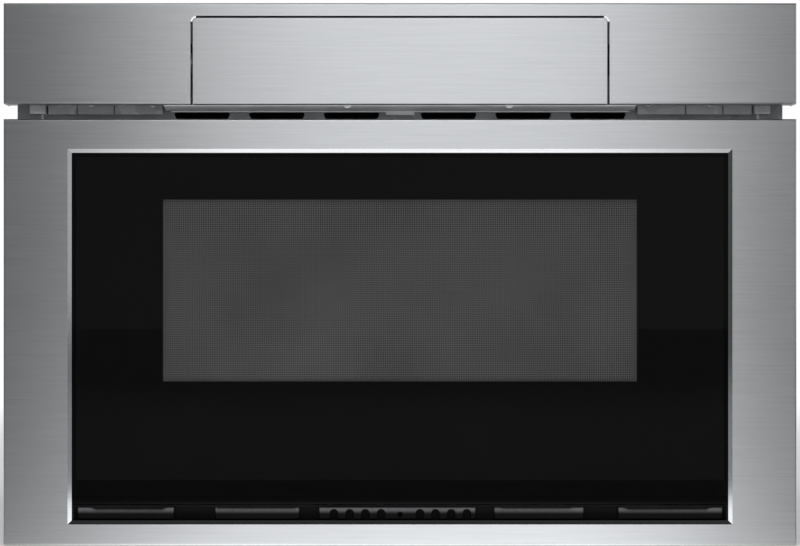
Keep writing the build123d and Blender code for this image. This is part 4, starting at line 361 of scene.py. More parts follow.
def brushed_stainless():
    """Front steel: brush lines across the width, faint handling marks, polished bends."""
    s = bpy.context.scene.drawer_steel
    f = Finish("brushed_stainless", s.tone, s.roughness, Metallic=1.0)
    strokes = f.stretched(1 / s.stroke, 1 / s.grain, 1 / s.grain)
    lines = f.noise(scale=1, detail=4, place=strokes, rough=0.65)
    marks = f.noise(scale=9, detail=2)
    f.vary_tone(lines, dark=0.93, light=1.04)
    brushing = f.math("MULTIPLY", lines, 1 - MARKS_SHARE)
    f.vary_roughness(f.math("MULTIPLY_ADD", marks, MARKS_SHARE, brushing), low=0.88, high=1.12)
    f.emboss(lines, depth=0.00002, strength=0.35)
    normal = f.add("ShaderNodeNewGeometry").outputs["Normal"]
    edge = bend_mask(f, normal)
    rough = f.shader.inputs["Roughness"].links[0].from_socket
    f.tree.links.new(f.choose(edge, rough, s.edge_roughness), f.shader.inputs["Roughness"])
    f.tree.links.new(f.choose(edge, s.stretch, 0.0), f.shader.inputs["Anisotropic"])
    sides = {0: normal, 1: GRAIN_AXIS}
    across = f.add("ShaderNodeVectorMath", sides, operation="CROSS_PRODUCT").outputs[0]
    f.tree.links.new(across, f.shader.inputs["Tangent"])
    return f.material


def galvanised(name="galvanised", tone=(0.5, 0.52, 0.54)):
    """Zinc-coated sheet with its spangle and white bloom."""
    f = Finish(name, tone, roughness=0.42, Metallic=0.7)
    grains = f.cells(scale=85, output="Color")
    f.vary_tone(grains, dark=0.78, light=1.08, start=0.1, end=0.9)
    f.wear(scale=30, detail=4, low=0.75, high=1.3)
    return f.emboss(grains, depth=0.00003, strength=0.25).material


def coated_sheet():
    """Grey coated case sheet with a fine orange peel and scuffs from fitting."""
    f = Finish("coated_sheet", tone=(0.49, 0.5, 0.51), roughness=0.42, Metallic=0.6)
    scuffs = f.noise(scale=9, detail=5, place=f.stretched(1, 3, 1))
    f.vary_tone(scuffs, dark=0.96, light=1.03)
    f.wear(scale=60, detail=5, low=0.88, high=1.12)
    return f.grain(scale=900, detail=2, depth=0.00003, strength=0.3).material


def deflector_sheet():
    """Pale strip in the air gap, a little smudged."""
    f = Finish("deflector_sheet", tone=(0.9, 0.91, 0.93), roughness=0.35)
    f.mottle(scale=60, detail=4, dark=0.9, light=1.06)
    return f.wear(scale=220, detail=3, low=0.8, high=1.25).material


def cavity_steel():
    """Satin sheet of the bin and cavity: short random brushing and faint heat tint."""
    f = Finish("cavity_steel", tone=(0.66, 0.65, 0.63), roughness=0.3, Metallic=1.0)
    short = f.noise(scale=1, detail=2, place=f.stretched(900, 60, 900))
    f.mottle(scale=7, detail=4, dark=0.94, light=1.03)
    f.vary_roughness(short, low=0.85, high=1.15)
    return f.emboss(short, depth=0.000005, strength=0.15).material


def slide_steel():
    """Zinc-plated slides: drawn lines along their length, a film of grease."""
    f = Finish("slide_steel", tone=(0.62, 0.61, 0.57), roughness=0.3, Metallic=1.0)
    drawn = f.noise(scale=1, detail=3, place=f.stretched(900, 12, 900))
    f.mottle(scale=45, detail=4, dark=0.8, light=1.06)
    f.vary_roughness(drawn, low=0.7, high=1.4)
    return f.emboss(drawn, depth=0.00002, strength=0.3).material


def screw_steel():
    """Bright plated screws, dulled in the recess."""
    f = Finish("screw_steel", tone=(0.9, 0.89, 0.87), roughness=0.25, Metallic=0.7)
    f.mottle(scale=700, detail=3, dark=0.75, light=1.05)
    return f.wear(scale=1200, detail=2, low=0.7, high=1.6).material


def smoked_glass():
    """Smoked outer pane; wiping leaves it very slightly uneven."""
    clear = {"Transmission_Weight": 1.0, "IOR": 1.5, "Specular_IOR_Level": 0.4}
    f = Finish("smoked_glass", bpy.context.scene.drawer_glass.tint, roughness=0.012, **clear)
    wiped = f.noise(scale=6, detail=3, place=f.stretched(1, 1, 2.2))
    return f.vary_roughness(wiped, low=0.8, high=1.25).material


def clear_glass():
    """Inner pane with a trace of dust."""
    clear = {"Transmission_Weight": 1.0, "IOR": 1.5}
    f = Finish("clear_glass", tone=(0.86, 0.9, 0.88), roughness=0.03, **clear)
    return f.wear(scale=25, detail=6, low=0.5, high=2.5).material


def glass_ceramic():
    """Milky plate in the bin's floor, with fine speckle."""
    glaze = {"Coat_Weight": 0.6, "Coat_Roughness": 0.05}
    f = Finish("glass_ceramic", tone=(0.74, 0.73, 0.69), roughness=0.12, **glaze)
    f.vary_tone(f.noise(scale=900, detail=2), dark=0.9, light=1.04, start=0.35, end=0.6)
    return f.wear(scale=18, detail=4, low=0.7, high=1.8).material


def touch_surface():
    """Polished black touch glass with finger smears."""
    glaze = {"Coat_Weight": 0.5, "Coat_Roughness": 0.03}
    f = Finish("touch_surface", tone=(0.008, 0.008, 0.009), roughness=0.07, **glaze)
    f.mottle(scale=30, detail=4, dark=0.8, light=1.6)
    smears = f.noise(scale=40, detail=5, place=f.stretched(1, 1.6, 1))
    return f.vary_roughness(smears, low=0.5, high=2.6).material


def black_plastic():
    """Moulded black plastic with a spark-eroded grain."""
    f = Finish("black_plastic", tone=(0.025, 0.025, 0.027), roughness=0.5)
    f.mottle(scale=35, detail=4, dark=0.75, light=1.35)
    f.wear(scale=180, detail=3, low=0.8, high=1.2)
    return f.grain(scale=1500, detail=3, depth=0.00006, strength=0.5).material


def grille_plastic():
    """Black grille in the air slot; painted light brightens the upper part of its raised bars, with
    painted shade lower down and on the strip behind them.
    """
    black = (0.055, 0.055, 0.058)
    f = Finish("grille_plastic", black, roughness=0.5, Specular_IOR_Level=0.05)
    low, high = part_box("lower_grille")
    _, y, z = f.add("ShaderNodeSeparateXYZ", {0: f.place}).outputs
    start, end = (low.z + share * (high.z - low.z) for share in PAINTED_LIGHT_RISE)
    # Painted light and shade: lighter towards the top of the bars, dark on the strip set back
    # behind them.
    height = f.ease(z, start, end, 0.02, 1.0)
    bars = f.ease(y, low.y, low.y + MM, 1.0, 0.06)
    patches = f.spread(f.noise(scale=300, detail=3), 0.85, 1.1)
    painted_light = f.math("MULTIPLY", f.math("MULTIPLY", height, bars), patches)
    f.vary_tone(painted_light, dark=0.04, light=3.6, start=0.0, end=1.0)
    return f.grain(scale=1500, detail=3, depth=0.00004, strength=0.4).material


def channel_plastic():
    """Dull black channel that holds the pane, painted darker than the other black plastic as
    painted shade.
    """
    # Painted shade: a near-black tone for the channel that sits in the gap's shadow.
    black = (0.007, 0.007, 0.007)
    f = Finish("channel_plastic", black, roughness=0.6, Specular_IOR_Level=0.08)
    f.mottle(scale=60, detail=4, dark=0.7, light=1.4)
    return f.wear(scale=300, detail=3, low=0.85, high=1.15).material


def choke_plastic():
    """Satin black cover of the choke, slightly glossier on its face."""
    f = Finish("choke_plastic", tone=(0.03, 0.03, 0.033), roughness=0.3)
    f.mottle(scale=22, detail=4, dark=0.8, light=1.3)
    f.wear(scale=90, detail=4, low=0.75, high=1.4)
    return f.grain(scale=1100, detail=2, depth=0.00003, strength=0.4).material


def foam():
    """Closed-cell foam tape."""
    f = Finish("foam", tone=(0.02, 0.02, 0.02), roughness=0.9)
    cells = f.cells(scale=1600, output="Distance")
    f.vary_tone(cells, dark=0.5, light=1.8, start=0.1, end=0.8)
    return f.emboss(cells, depth=0.0002, strength=0.6).material


def motor_can():
    """Plated motor cans and gear cases with a dull passivation."""
    f = Finish("motor_can", tone=(0.4, 0.41, 0.41), roughness=0.38, Metallic=0.9)
    f.mottle(scale=50, detail=5, dark=0.75, light=1.12)
    return f.wear(scale=240, detail=3, low=0.75, high=1.4).material


def screen_black():
    """Black enamel on the inner panel and screen."""
    f = Finish("screen_black", tone=(0.014, 0.014, 0.015), roughness=0.42)
    f.mottle(scale=28, detail=5, dark=0.7, light=1.5)
    f.wear(scale=120, detail=4, low=0.8, high=1.3)
    return f.grain(scale=700, detail=3, depth=0.00005, strength=0.4).material


def laminations():
    """Lacquered stacked plates of the transformer, with fine lines between them."""
    f = Finish("laminations", tone=(0.13, 0.125, 0.12), roughness=0.45, Metallic=0.6)
    plates = f.waves(scale=300, axis="Y", distortion=0.4)
    f.vary_tone(plates, dark=0.5, light=1.3, start=0.2, end=0.6)
    f.wear(scale=70, detail=4, low=0.75, high=1.3)
    return f.emboss(plates, depth=0.0001, strength=0.6).material


def aluminium():
    """Mill-finish aluminium with rolling lines."""
    f = Finish("aluminium", tone=(0.74, 0.75, 0.76), roughness=0.32, Metallic=1.0)
    rolled = f.noise(scale=1, detail=3, place=f.stretched(18, 700, 700))
    f.vary_tone(rolled, dark=0.85, light=1.05)
    return f.wear(scale=60, detail=4, low=0.75, high=1.4).material


def mica():
    """Mica sheet: overlapping flakes with a pearly sheen."""
    f = Finish("mica", tone=(0.62, 0.56, 0.42), roughness=0.4, Specular_IOR_Level=0.7)
    flakes = f.cells(scale=60, output="Color", place=f.stretched(1, 1.4, 1))
    f.vary_tone(flakes, dark=0.75, light=1.2, start=0.1, end=0.9)
    return f.wear(scale=90, detail=4, low=0.6, high=1.3).material


def solder_resist():
    """Green board: darker tracks under the resist and pale flux marks."""
    f = Finish("solder_resist", tone=(0.03, 0.16, 0.07), roughness=0.35)
    tracks = f.cells(scale=160, output="Distance")
    f.vary_tone(tracks, dark=0.55, light=1.5, start=0.25, end=0.4)
    f.wear(scale=200, detail=3, low=0.6, high=1.5)
    return f.emboss(tracks, depth=0.00005, strength=0.4).material


def fan_plastic():
    """Moulded fan with dust along its blades."""
    f = Finish("fan_plastic", tone=(0.07, 0.07, 0.075), roughness=0.45)
    f.mottle(scale=90, detail=5, dark=0.7, light=1.9)
    return f.wear(scale=300, detail=3, low=0.8, high=1.4).material


def acetal():
    """Off-white acetal gears and hooks, a little yellowed."""
    f = Finish("acetal", tone=(0.74, 0.72, 0.66), roughness=0.4, Subsurface_Weight=0.05)
    f.mottle(scale=110, detail=4, dark=0.88, light=1.05)
    return f.wear(scale=400, detail=3, low=0.8, high=1.3).material


def enamel_print():
    """Black ceramic print fired on the back of the pane."""
    black = bpy.context.scene.drawer_glass.enamel
    f = Finish("enamel_print", black, roughness=0.5, Specular_IOR_Level=0.0)
    f.mottle(scale=14, detail=3, dark=0.85, light=1.15)
    return f.wear(scale=80, detail=3, low=0.8, high=1.2).material


def screen_wire():
    """Grey enamelled web of the perforated screen."""
    f = Finish("screen_wire", bpy.context.scene.drawer_glass.wire_tone, roughness=0.5)
    f.mottle(scale=12, detail=4, dark=0.85, light=1.12)
    return f.wear(scale=300, detail=2, low=0.8, high=1.2).material


def key_ink():
    """Pale screen-printed ink, thinner where fingers rub it."""
    f = Finish("key_ink", bpy.context.scene.drawer_keys.ink, roughness=0.45)
    f.mottle(scale=260, detail=4, dark=0.8, light=1.05)
    return f.wear(scale=600, detail=2, low=0.8, high=1.3).material


def display_glass():
    """Unlit display: dark blue-green with faint segment rows."""
    dark = bpy.context.scene.drawer_keys.display
    f = Finish("display_glass", dark, roughness=0.1, Coat_Weight=0.5)
    f.vary_tone(f.waves(scale=180, axis="X"), dark=0.8, light=1.35)
    return f.wear(scale=60, detail=4, low=0.6, high=1.8).material


FRONT_FINISHES = {
    "stainless": brushed_stainless,
    "black_glass": smoked_glass,
    "touch_surface": touch_surface,
    "black_plastic": black_plastic,
    "foam": foam,
    "screen_black": screen_black,
    "plate_black": deflector_sheet,
    "screw_steel": screw_steel,
}
CASE_FINISHES = {"case_paint": coated_sheet, "galvanised": galvanised}
BIN_FINISHES = {
    "cavity_steel": cavity_steel,
    "clear_glass": clear_glass,
    "glass_ceramic": glass_ceramic,
    "choke_plastic": choke_plastic,
    "slide_steel": slide_steel,
    "acetal": acetal,
}
INNER_FINISHES = {
    "motor_paint": motor_can,
    "core_iron": laminations,
    "aluminium": aluminium,
    "mica": mica,
    "board": solder_resist,
    "fan_plastic": fan_plastic,
}


def paint(node, material):
    """Gives one CAD node a material of its own."""
    NODES[node].data.materials.clear()
    NODES[node].data.materials.append(material)


def dress(finishes):
    """Gives every CAD node of those slots its finish."""
    made = {name: make() for name, make in finishes.items()}
    for node, slot in SLOTS.items():
        if slot in made:
            paint(node, made[slot])


# ---------------------------------------------------------------- mesh building
def mesh_object(name, corners, faces, material=None):
    """A linked object from corners and faces."""
    mesh = bpy.data.meshes.new(name)
    mesh.from_pydata(corners, [], faces)
    mesh.update()
    if material:
        mesh.materials.append(material)
    made = bpy.data.objects.new(name, mesh)
    bpy.context.scene.collection.objects.link(made)
    return made


def piece(made, body):
    """A finished piece rides on its body."""
    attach(made, body)
    return made


def plain_mesh(source, name):
    """The evaluated shape of an object as a plain mesh object; the source goes."""
    bpy.context.view_layer.update()
    shape = source.evaluated_get(bpy.context.evaluated_depsgraph_get())
    mesh = bpy.data.meshes.new_from_object(shape)
    mesh.name = name
    bpy.data.objects.remove(source)
    made = bpy.data.objects.new(name, mesh)
    bpy.context.scene.collection.objects.link(made)
    return made


def window_frame(name, outer, inner, y, material):
    """Flat frame between two Y values; outer and inner are (half width, low Z, high Z)."""
    corners = []
    for depth in y:
        for x, low, high in (outer, inner):
            corners += [(-x, depth, low), (x, depth, low), (x, depth, high), (-x, depth, high)]
    faces = []
    for n in range(4):
        m = (n + 1) % 4
        faces.append((n, m, m + 4, n + 4))
        faces.append((n + 8, n + 12, m + 12, m + 8))
        faces.append((n, n + 8, m + 8, m))
        faces.append((n + 4, m + 4, m + 12, n + 12))
    return mesh_object(name, corners, faces, material)


def rounded_plate(name, centre, size, radius, thickness, tilt, material, steps=6):
    """Plate with round corners, lying in the tilted plane through its centre."""
    half_x, half_y = size[0] / 2 - radius, size[1] / 2 - radius
    outline = []
    for n in range(4):
        corner = Vector(((1, 1), (-1, 1), (-1, -1), (1, -1))[n])
        for k in range(steps + 1):
            arm = Matrix.Rotation((n + k / steps) * QUARTER_TURN, 2) @ Vector((radius, 0))
            outline.append((corner.x * half_x + arm.x, corner.y * half_y + arm.y))
    total = len(outline)
    corners = [(x, y, z) for z in (0, thickness) for x, y in outline]
    faces = [tuple(range(total))[::-1], tuple(range(total, 2 * total))]
    faces += [(n, (n + 1) % total, (n + 1) % total + total, n + total) for n in range(total)]
    made = mesh_object(name, corners, faces, material)
    made.data.transform(Matrix.Translation(centre) @ tilt)
    return made


def text_mesh(sign, size, thickness, material):
    """A centred sign as a mesh, named after what it says."""
    text = bpy.data.curves.new("digit", "FONT")
    text.body = sign
    text.size = size
    text.align_x, text.align_y = "CENTER", "CENTER"
    text.extrude = thickness
    source = bpy.data.objects.new("digit", text)
    bpy.context.scene.collection.objects.link(source)
    made = plain_mesh(source, f"digit_{sign}")
    made.data.materials.clear()
    made.data.materials.append(material)
    return made


# ---------------------------------------------------------------- geometry trees
def new_tree(name, inputs):
    """A geometry tree with named inputs; gives its graph and the input node's sockets."""
    tree = bpy.data.node_groups.new(name, "GeometryNodeTree")
    tree.interface.new_socket("Geometry", in_out="INPUT", socket_type="NodeSocketGeometry")
    tree.interface.new_socket("Geometry", in_out="OUTPUT", socket_type="NodeSocketGeometry")
    for label, kind in inputs.items():
        tree.interface.new_socket(label, in_out="INPUT", socket_type="NodeSocket" + kind)
    graph = Graph(tree)
    return graph, graph.add("NodeGroupInput").outputs


def close_tree(graph, geometry, material):
    """Ends a tree in real geometry with its material."""
    real = graph.add("GeometryNodeRealizeInstances", {"Geometry": geometry}).outputs[0]
    painted = graph.add("GeometryNodeSetMaterial", {"Geometry": real, "Material": material})
    graph.add("NodeGroupOutput", {"Geometry": painted.outputs[0]})
    return graph.tree


def grow(name, tree, values, base=None):
    """Runs a tree on a base object and keeps the result as a plain mesh."""
    base = base or mesh_object(name + "_base", [(0, 0, 0)], [])
    modifier = base.modifiers.new("shape", "NODES")
    modifier.node_group = tree
    for item in tree.interface.items_tree:
        if item.in_out == "INPUT" and item.name in values:
            modifier[item.identifier] = values[item.name]
    return plain_mesh(base, name)


def screen_tree():
    """Crossed webs that leave square holes, in the XZ plane round the origin."""
    kinds = dict.fromkeys(("Width", "Height", "Pitch", "Web", "Thickness"), "Float")
    graph, given = new_tree("window_screen", {**kinds, "Material": "Material"})
    bars = []
    for span, reach, share in (("Width", "Height", 1.0), ("Height", "Width", 0.9)):
        number = graph.math("FLOOR", graph.math("DIVIDE", given[span], given["Pitch"]))
        half_pitch = graph.math("MULTIPLY", given["Pitch"], -0.5)
        start = graph.math("MULTIPLY", graph.math("SUBTRACT", number, 1.0), half_pitch)
        axis = "x" if span == "Width" else "z"
        other = "z" if span == "Width" else "x"
        line = {"Count": number, "Start Location": graph.vector(**{axis: start})}
        line["Offset"] = graph.vector(**{axis: given["Pitch"]})
        points = graph.add("GeometryNodeMeshLine", line).outputs[0]
        depth = graph.math("MULTIPLY", given["Thickness"], share)
        size = graph.vector(**{axis: given["Web"], other: given[reach], "y": depth})
        bar = graph.add("GeometryNodeMeshCube", {"Size": size}).outputs[0]
        bars.append(graph.scatter(points, bar))
    joined = graph.add("GeometryNodeJoinGeometry")
    for bar in bars:
        graph.tree.links.new(bar, joined.inputs[0])
    return close_tree(graph, joined.outputs[0], given["Material"])


def weld_tree():
    """Low domes at even steps along each edge of the base mesh, turned to its facing."""
    kinds = dict.fromkeys(("Spacing", "Radius", "Rise"), "Float")
    graph, given = new_tree("spot_welds", {**kinds, "Material": "Material"})
    curve = graph.add("GeometryNodeMeshToCurve", {"Mesh": given["Geometry"]}).outputs[0]
    even = {"Curve": curve, "Length": given["Spacing"]}
    points = graph.add("GeometryNodeResampleCurve", even, mode="LENGTH").outputs[0]
    name = {"Name": "facing"}
    stored = graph.add("GeometryNodeInputNamedAttribute", name, data_type="FLOAT_VECTOR")
    facing = {"Vector": stored.outputs[0]}
    turn = graph.add("FunctionNodeAlignRotationToVector", facing, axis="Z").outputs[0]
    ball = {"Segments": 14, "Rings": 8, "Radius": 1.0}
    dome = graph.add("GeometryNodeMeshUVSphere", ball).outputs[0]
    scale = graph.vector(given["Radius"], given["Radius"], given["Rise"])
    domes = graph.scatter(points, dome, Rotation=turn, Scale=scale)
    return close_tree(graph, domes, given["Material"])


def key_tree():
    """A grid of round-cornered key outlines in the XY plane round the origin."""
    kinds = {"Columns": "Int", "Rows": "Int", "Pitch": "Float", "Key": "Float", "Line": "Float"}
    graph, given = new_tree("key_outlines", {**kinds, "Material": "Material"})
    grid = {}
    for label, side in (("Columns", "X"), ("Rows", "Y")):
        gaps = graph.math("SUBTRACT", given[label], 1.0)
        grid["Vertices " + side] = given[label]
        grid["Size " + side] = graph.math("MULTIPLY", gaps, given["Pitch"])
    points = graph.add("GeometryNodeMeshGrid", grid).outputs[0]
    square = {"Width": given["Key"], "Height": given["Key"]}
    loop = graph.add("GeometryNodeCurvePrimitiveQuadrilateral", square).outputs[0]
    corner = {"Curve": loop, "Radius": graph.math("MULTIPLY", given["Key"], KEY_CORNER), "Count": 4}
    soft = graph.add("GeometryNodeFilletCurve", corner, mode="POLY").outputs[0]
    section = {"Resolution": 6, "Radius": graph.math("MULTIPLY", given["Line"], 0.5)}
    profile = graph.add("GeometryNodeCurvePrimitiveCircle", section).outputs[0]
    swept = {"Curve": soft, "Profile Curve": profile}
    ring = graph.add("GeometryNodeCurveToMesh", swept).outputs[0]
    return close_tree(graph, graph.scatter(points, ring), given["Material"])


# ---------------------------------------------------------------- operators
class DRAWER_OT_front_finishes(bpy.types.Operator):
    """Finish the steel front, the glass and what shows in the air gap"""

    bl_idname = "drawer.front_finishes"
    bl_label = "Front Finishes"

    def execute(self, context):
        dress(FRONT_FINISHES)
        paint("lower_grille", grille_plastic())
        paint("glass_channel", channel_plastic())
        return {"FINISHED"}


class DRAWER_OT_case_finishes(bpy.types.Operator):
    """Finish the case sheets and brackets"""

    bl_idname = "drawer.case_finishes"
    bl_label = "Case Finishes"

    def execute(self, context):
        dress(CASE_FINISHES)
        paint("fascia_brackets", galvanised("bright_zinc", (0.82, 0.84, 0.86)))
        return {"FINISHED"}


class DRAWER_OT_bin_finishes(bpy.types.Operator):
    """Finish the bin, the slides and the drive"""

    bl_idname = "drawer.bin_finishes"
    bl_label = "Bin and Slide Finishes"

    def execute(self, context):
        dress(BIN_FINISHES)
        return {"FINISHED"}


class DRAWER_OT_inner_finishes(bpy.types.Operator):
    """Finish the motors, boards and microwave parts inside the case"""

    bl_idname = "drawer.inner_finishes"
    bl_label = "Inner Finishes"

    def execute(self, context):
        dress(INNER_FINISHES)
        return {"FINISHED"}


class DRAWER_OT_window(bpy.types.Operator):
    """Print the black border behind the pane and set the perforated screen in its window"""

    bl_idname = "drawer.window"
    bl_label = "Window"

    def execute(self, context):
        s = context.scene.drawer_glass
        low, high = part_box("door_glass")
        half = s.window_height / 2
        window = (s.window_width / 2, s.window_middle - half, s.window_middle + half)
        outline = (high.x - PRINT_INSET, low.z + PRINT_INSET, high.z - PRINT_INSET)
        near = high.y + PRINT_GAP
        behind = (near, near + PRINT_THICKNESS)
        border = window_frame("window_print", outline, window, behind, enamel_print())
        piece(border, "drawer")
        values = {"Width": s.window_width, "Height": s.window_height, "Pitch": s.pitch}
        values.update({"Web": s.wire, "Thickness": s.thickness, "Material": screen_wire()})
        screen = grow("window_screen", screen_tree(), values)
        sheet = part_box("door_screen")[0].y
        screen.data.transform(Matrix.Translation((0, sheet - s.thickness, s.window_middle)))
        piece(screen, "drawer")
        return {"FINISHED"}


def weld_seams(inset):
    """Start, end and facing of each welded seam of the case."""
    low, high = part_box("base_pan")
    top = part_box("side_panel_left")[1].z
    near, far = inset * 3, high.y - inset
    seams = []
    for side in (-1, 1):
        x = side * high.x
        for z in (low.z + inset, top - inset):
            seams.append(((x, near, z), (x, far, z), (side, 0, 0)))
        x -= side * inset
        seams.append(((x, high.y, near), (x, high.y, top - near), (0, 1, 0)))
        seams.append(((x, near, 0), (x, far, 0), (0, 0, -1)))
    return seams


class DRAWER_OT_spot_welds(bpy.types.Operator):
    """Set rows of spot welds along the folded seams of the case"""

    bl_idname = "drawer.spot_welds"
    bl_label = "Spot Welds"

    def execute(self, context):
        s = context.scene.drawer_welds
        seams = weld_seams(s.inset)
        mesh = bpy.data.meshes.new("seams")
        corners = [point for start, end, _ in seams for point in (start, end)]
        mesh.from_pydata(corners, [(2 * n, 2 * n + 1) for n in range(len(seams))], [])
        facing = mesh.attributes.new("facing", "FLOAT_VECTOR", "POINT")
        for n, (_, _, way) in enumerate(seams):
            facing.data[2 * n].vector = way
            facing.data[2 * n + 1].vector = way
        base = bpy.data.objects.new("seams", mesh)
        context.scene.collection.objects.link(base)
        values = {"Spacing": s.spacing, "Radius": s.radius, "Rise": s.rise}
        values["Material"] = coated_sheet()
        welds = grow("spot_welds", weld_tree(), values, base)
        for polygon in welds.data.polygons:
            polygon.use_smooth = True
        piece(welds, "chassis")
        return {"FINISHED"}


class DRAWER_OT_touch_panel(bpy.types.Operator):
    """Print generic key outlines and digits and set a display on the touch glass"""

    bl_idname = "drawer.touch_panel"
    bl_label = "Touch Panel"

    def execute(self, context):
        s = context.scene.drawer_keys
        points = [v.co for v in NODES["touch_glass"].data.vertices]
        front = max(points, key=lambda p: p.z)
        back = max(points, key=lambda p: p.y)
        middle = Vector((0, (front.y + back.y) / 2, (front.z + back.z) / 2))
        along = Vector((1, 0, 0))
        fall = Vector((0, back.y - front.y, back.z - front.z)).normalized()
        tilt = Matrix((along, fall, along.cross(fall))).transposed().to_4x4()
        ink = key_ink()
        values = {"Rows": s.rows, "Pitch": s.pitch, "Key": s.key, "Line": s.line, "Material": ink}
        tree = key_tree()
        for name, at, extra in (("digit_keys", DIGITS_AT, 0), ("function_keys", FUNCTIONS_AT, 1)):
            keys = grow(name, tree, {**values, "Columns": s.columns + extra})
            keys.data.transform(Matrix.Translation(middle + at * along) @ tilt)
            piece(keys, "control_flap")
        size = (s.display_width, s.display_height)
        centre = middle + DISPLAY_AT * along
        form = (centre, size, DISPLAY_CORNER, DISPLAY_THICKNESS, tilt, display_glass())
        piece(rounded_plate("display", *form), "control_flap")
        for n in range(2 * s.columns):
            row, column = divmod(n, s.columns)
            x = DIGITS_AT - s.columns * s.pitch / 2 + (column + 0.5) * s.pitch
            y = (0.5 - row) * s.pitch
            digit = text_mesh(str((n + 1) % 10), s.digit, DIGIT_THICKNESS, ink)
            digit.data.transform(Matrix.Translation(middle) @ tilt @ Matrix.Translation((x, y, 0)))
            piece(digit, "control_flap")
        return {"FINISHED"}


def studio_floor(s):
    """Pale matt floor; for glossy rays it shows a painted dark reflection and emits a painted glow
    in front of the object.
    """
    f = Finish("studio_floor", s.floor, roughness=0.85, Specular_IOR_Level=0.1)
    f.mottle(scale=3, detail=3, dark=0.98, light=1.0)
    plain = f.shader.inputs["Base Color"].links[0].from_socket
    x, y, _ = f.add("ShaderNodeSeparateXYZ", {0: f.place}).outputs
    ray = f.add("ShaderNodeLightPath").outputs
    # Painted reflection: glossy rays see the floor in front darkened.
    front = f.math("MULTIPLY", ray["Is Glossy Ray"], f.ease(y, *PAINTED_DARK_END, PAINTED_DARK_SHARE, 0.0))
    away = f.add("ShaderNodeVectorMath", {0: f.place}, operation="LENGTH").outputs["Value"]
    faded = f.math("MULTIPLY", ray["Is Camera Ray"], f.ease(away, *FLOOR_FADE, 0.0, 1.0))
    mix = f.add("ShaderNodeMix", {"Factor": f.math("MAXIMUM", front, faded)}, data_type="RGBA")
    f.tree.links.new(plain, mix.inputs["A"])
    mix.inputs["B"].default_value = (*s.cloth, 1)
    f.tree.links.new(mix.outputs["Result"], f.shader.inputs["Base Color"])
    # Painted glow: the floor emits in front of the object for glossy rays only.
    aside = f.math("ABSOLUTE", f.math("SUBTRACT", x, PAINTED_GLOW_MIDDLE))
    across = f.ease(aside, *PAINTED_GLOW_SIDES, s.painted_glow, s.painted_glow * PAINTED_GLOW_SPILL)
    near = f.ease(y, *PAINTED_GLOW_NEAR, 0.0, PAINTED_GLOW_LIFT)
    reach = f.math("ADD", f.ease(y, *PAINTED_GLOW_START, 0.0, 1.0), near)
    painted_glow = f.math("MULTIPLY", f.math("MULTIPLY", across, reach), front)
    f.shader.inputs["Emission Color"].default_value = (1, 1, 1, 1)
    f.tree.links.new(f.math("ADD", painted_glow, faded), f.shader.inputs["Emission Strength"])
    return f.material


def aim(lamp, place, target):
    """Puts a lamp in its place, facing the target."""
    lamp.location = place
    lamp.rotation_euler = (Vector(target) - Vector(place)).to_track_quat("-Z", "Y").to_euler()


def room_world(s):
    """Even light; polish and glass see a dim room in front and white behind, both darker above."""
    world = bpy.data.worlds.new("studio")
    world.use_nodes = True
    graph = Graph(world.node_tree)
    ray = graph.add("ShaderNodeLightPath").outputs
    way = graph.add("ShaderNodeTexCoord").outputs["Generated"]
    x, y, z = graph.add("ShaderNodeSeparateXYZ", {0: way}).outputs
    lean = s.lean * LEAN_SHARE
    front = graph.ease(z, *GLOW_RISE, s.dark, s.glow)
    front = graph.math("MULTIPLY", front, graph.ease(x, *LEAN_SPAN, 1 - lean, 1 + lean))
    front = graph.math("ADD", front, graph.ease(x, *SIDE_WALL, 0.0, SIDE_GLOW))
    front = graph.math("MULTIPLY", front, graph.ease(z, *CEILING_RISE, 1.0, CEILING_LEVEL))
    behind = graph.ease(z, *BACK_RISE, 1.0, BACK_LEVEL)
    polish = graph.ease(y, *BACK_SPAN, front, behind)
    sharp = graph.math("MAXIMUM", ray["Is Glossy Ray"], ray["Is Transmission Ray"])
    strength = graph.choose(sharp, s.room, polish)
    strength = graph.choose(ray["Is Camera Ray"], strength, 1.0)
    background = world.node_tree.nodes["Background"]
    background.inputs["Color"].default_value = (1, 1, 1, 1)
    world.node_tree.links.new(strength, background.inputs["Strength"])
    return world


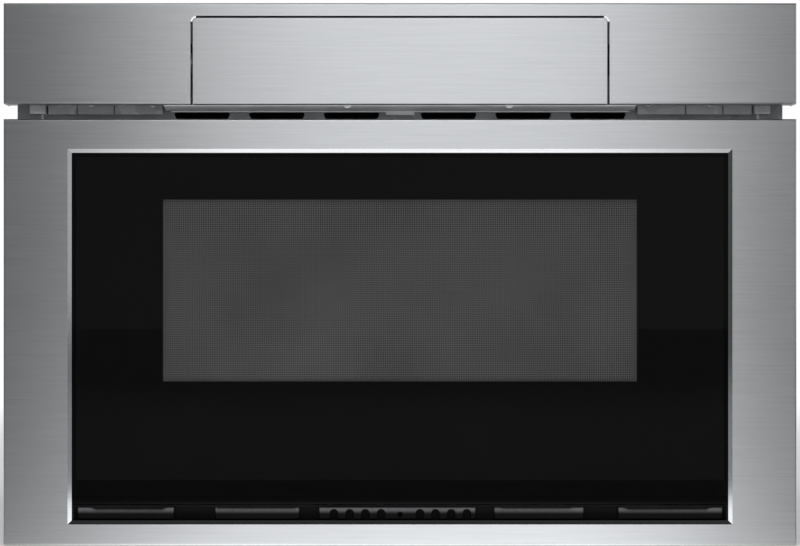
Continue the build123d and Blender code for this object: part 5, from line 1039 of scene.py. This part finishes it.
class DRAWER_OT_studio(bpy.types.Operator):
    """Set the floor, the lamps, the room and the camera at the photograph's angle"""

    bl_idname = "drawer.studio"
    bl_label = "Studio"

    def execute(self, context):
        s = context.scene.drawer_studio
        scene = context.scene
        low = Vector(CAD_BOX[0])
        cloth = studio_floor(s)
        signs = ((-1, -1), (1, -1), (1, 1), (-1, 1))
        square = [(a * FLOOR_REACH, b * FLOOR_REACH, low.z - FLOOR_GAP) for a, b in signs]
        mesh_object("floor", square, [(0, 1, 2, 3)], cloth)
        camera = bpy.data.objects.new("camera", bpy.data.cameras.new("camera"))
        scene.collection.objects.link(camera)
        camera.location = (0, low.y - s.distance, s.height)
        camera.rotation_euler = (QUARTER_TURN, 0, 0)
        camera.data.lens = camera.data.sensor_width * s.distance / s.width
        camera.data.clip_start, camera.data.clip_end = CLIP_RANGE
        scene.camera = camera
        lamp = bpy.data.lights.new("softbox", "AREA")
        lamp.shape = "RECTANGLE"
        lamp.size, lamp.size_y = s.softbox_width, s.softbox_height
        lamp.energy = s.softbox_power
        softbox = bpy.data.objects.new("softbox", lamp)
        scene.collection.objects.link(softbox)
        aim(softbox, (SOFTBOX_X, low.y - s.distance, SOFTBOX_HEIGHT), SOFTBOX_TARGET)
        scene.world = room_world(s)
        scene.view_settings.view_transform = "Standard"
        return {"FINISHED"}


OPERATORS = (
    DRAWER_OT_studio,
    DRAWER_OT_front_finishes,
    DRAWER_OT_case_finishes,
    DRAWER_OT_bin_finishes,
    DRAWER_OT_inner_finishes,
    DRAWER_OT_window,
    DRAWER_OT_spot_welds,
    DRAWER_OT_touch_panel,
)


class DRAWER_PT_looks(bpy.types.Panel):
    """Sizes and colours of the drawer's looks, and the steps that make them"""

    bl_idname = "DRAWER_PT_looks"
    bl_label = "Microwave Drawer"
    bl_space_type = "VIEW_3D"
    bl_region_type = "UI"
    bl_category = "Drawer"

    def draw(self, context):
        for attribute, group in SETTINGS.items():
            box = self.layout.box()
            for name in group.__annotations__:
                box.prop(getattr(context.scene, attribute), name)
        for operator in OPERATORS:
            self.layout.operator(operator.bl_idname)


CLASSES = (*SETTINGS.values(), *OPERATORS, DRAWER_PT_looks)


def register():
    for cls in CLASSES:
        bpy.utils.register_class(cls)
    for attribute, group in SETTINGS.items():
        setattr(bpy.types.Scene, attribute, PointerProperty(type=group))


def unregister():
    for attribute in SETTINGS:
        delattr(bpy.types.Scene, attribute)
    for cls in reversed(CLASSES):
        bpy.utils.unregister_class(cls)


def main():
    register()
    for operator in OPERATORS:
        group, name = operator.bl_idname.split(".")
        getattr(getattr(bpy.ops, group), name)()


if __name__ == "__main__":
    main()
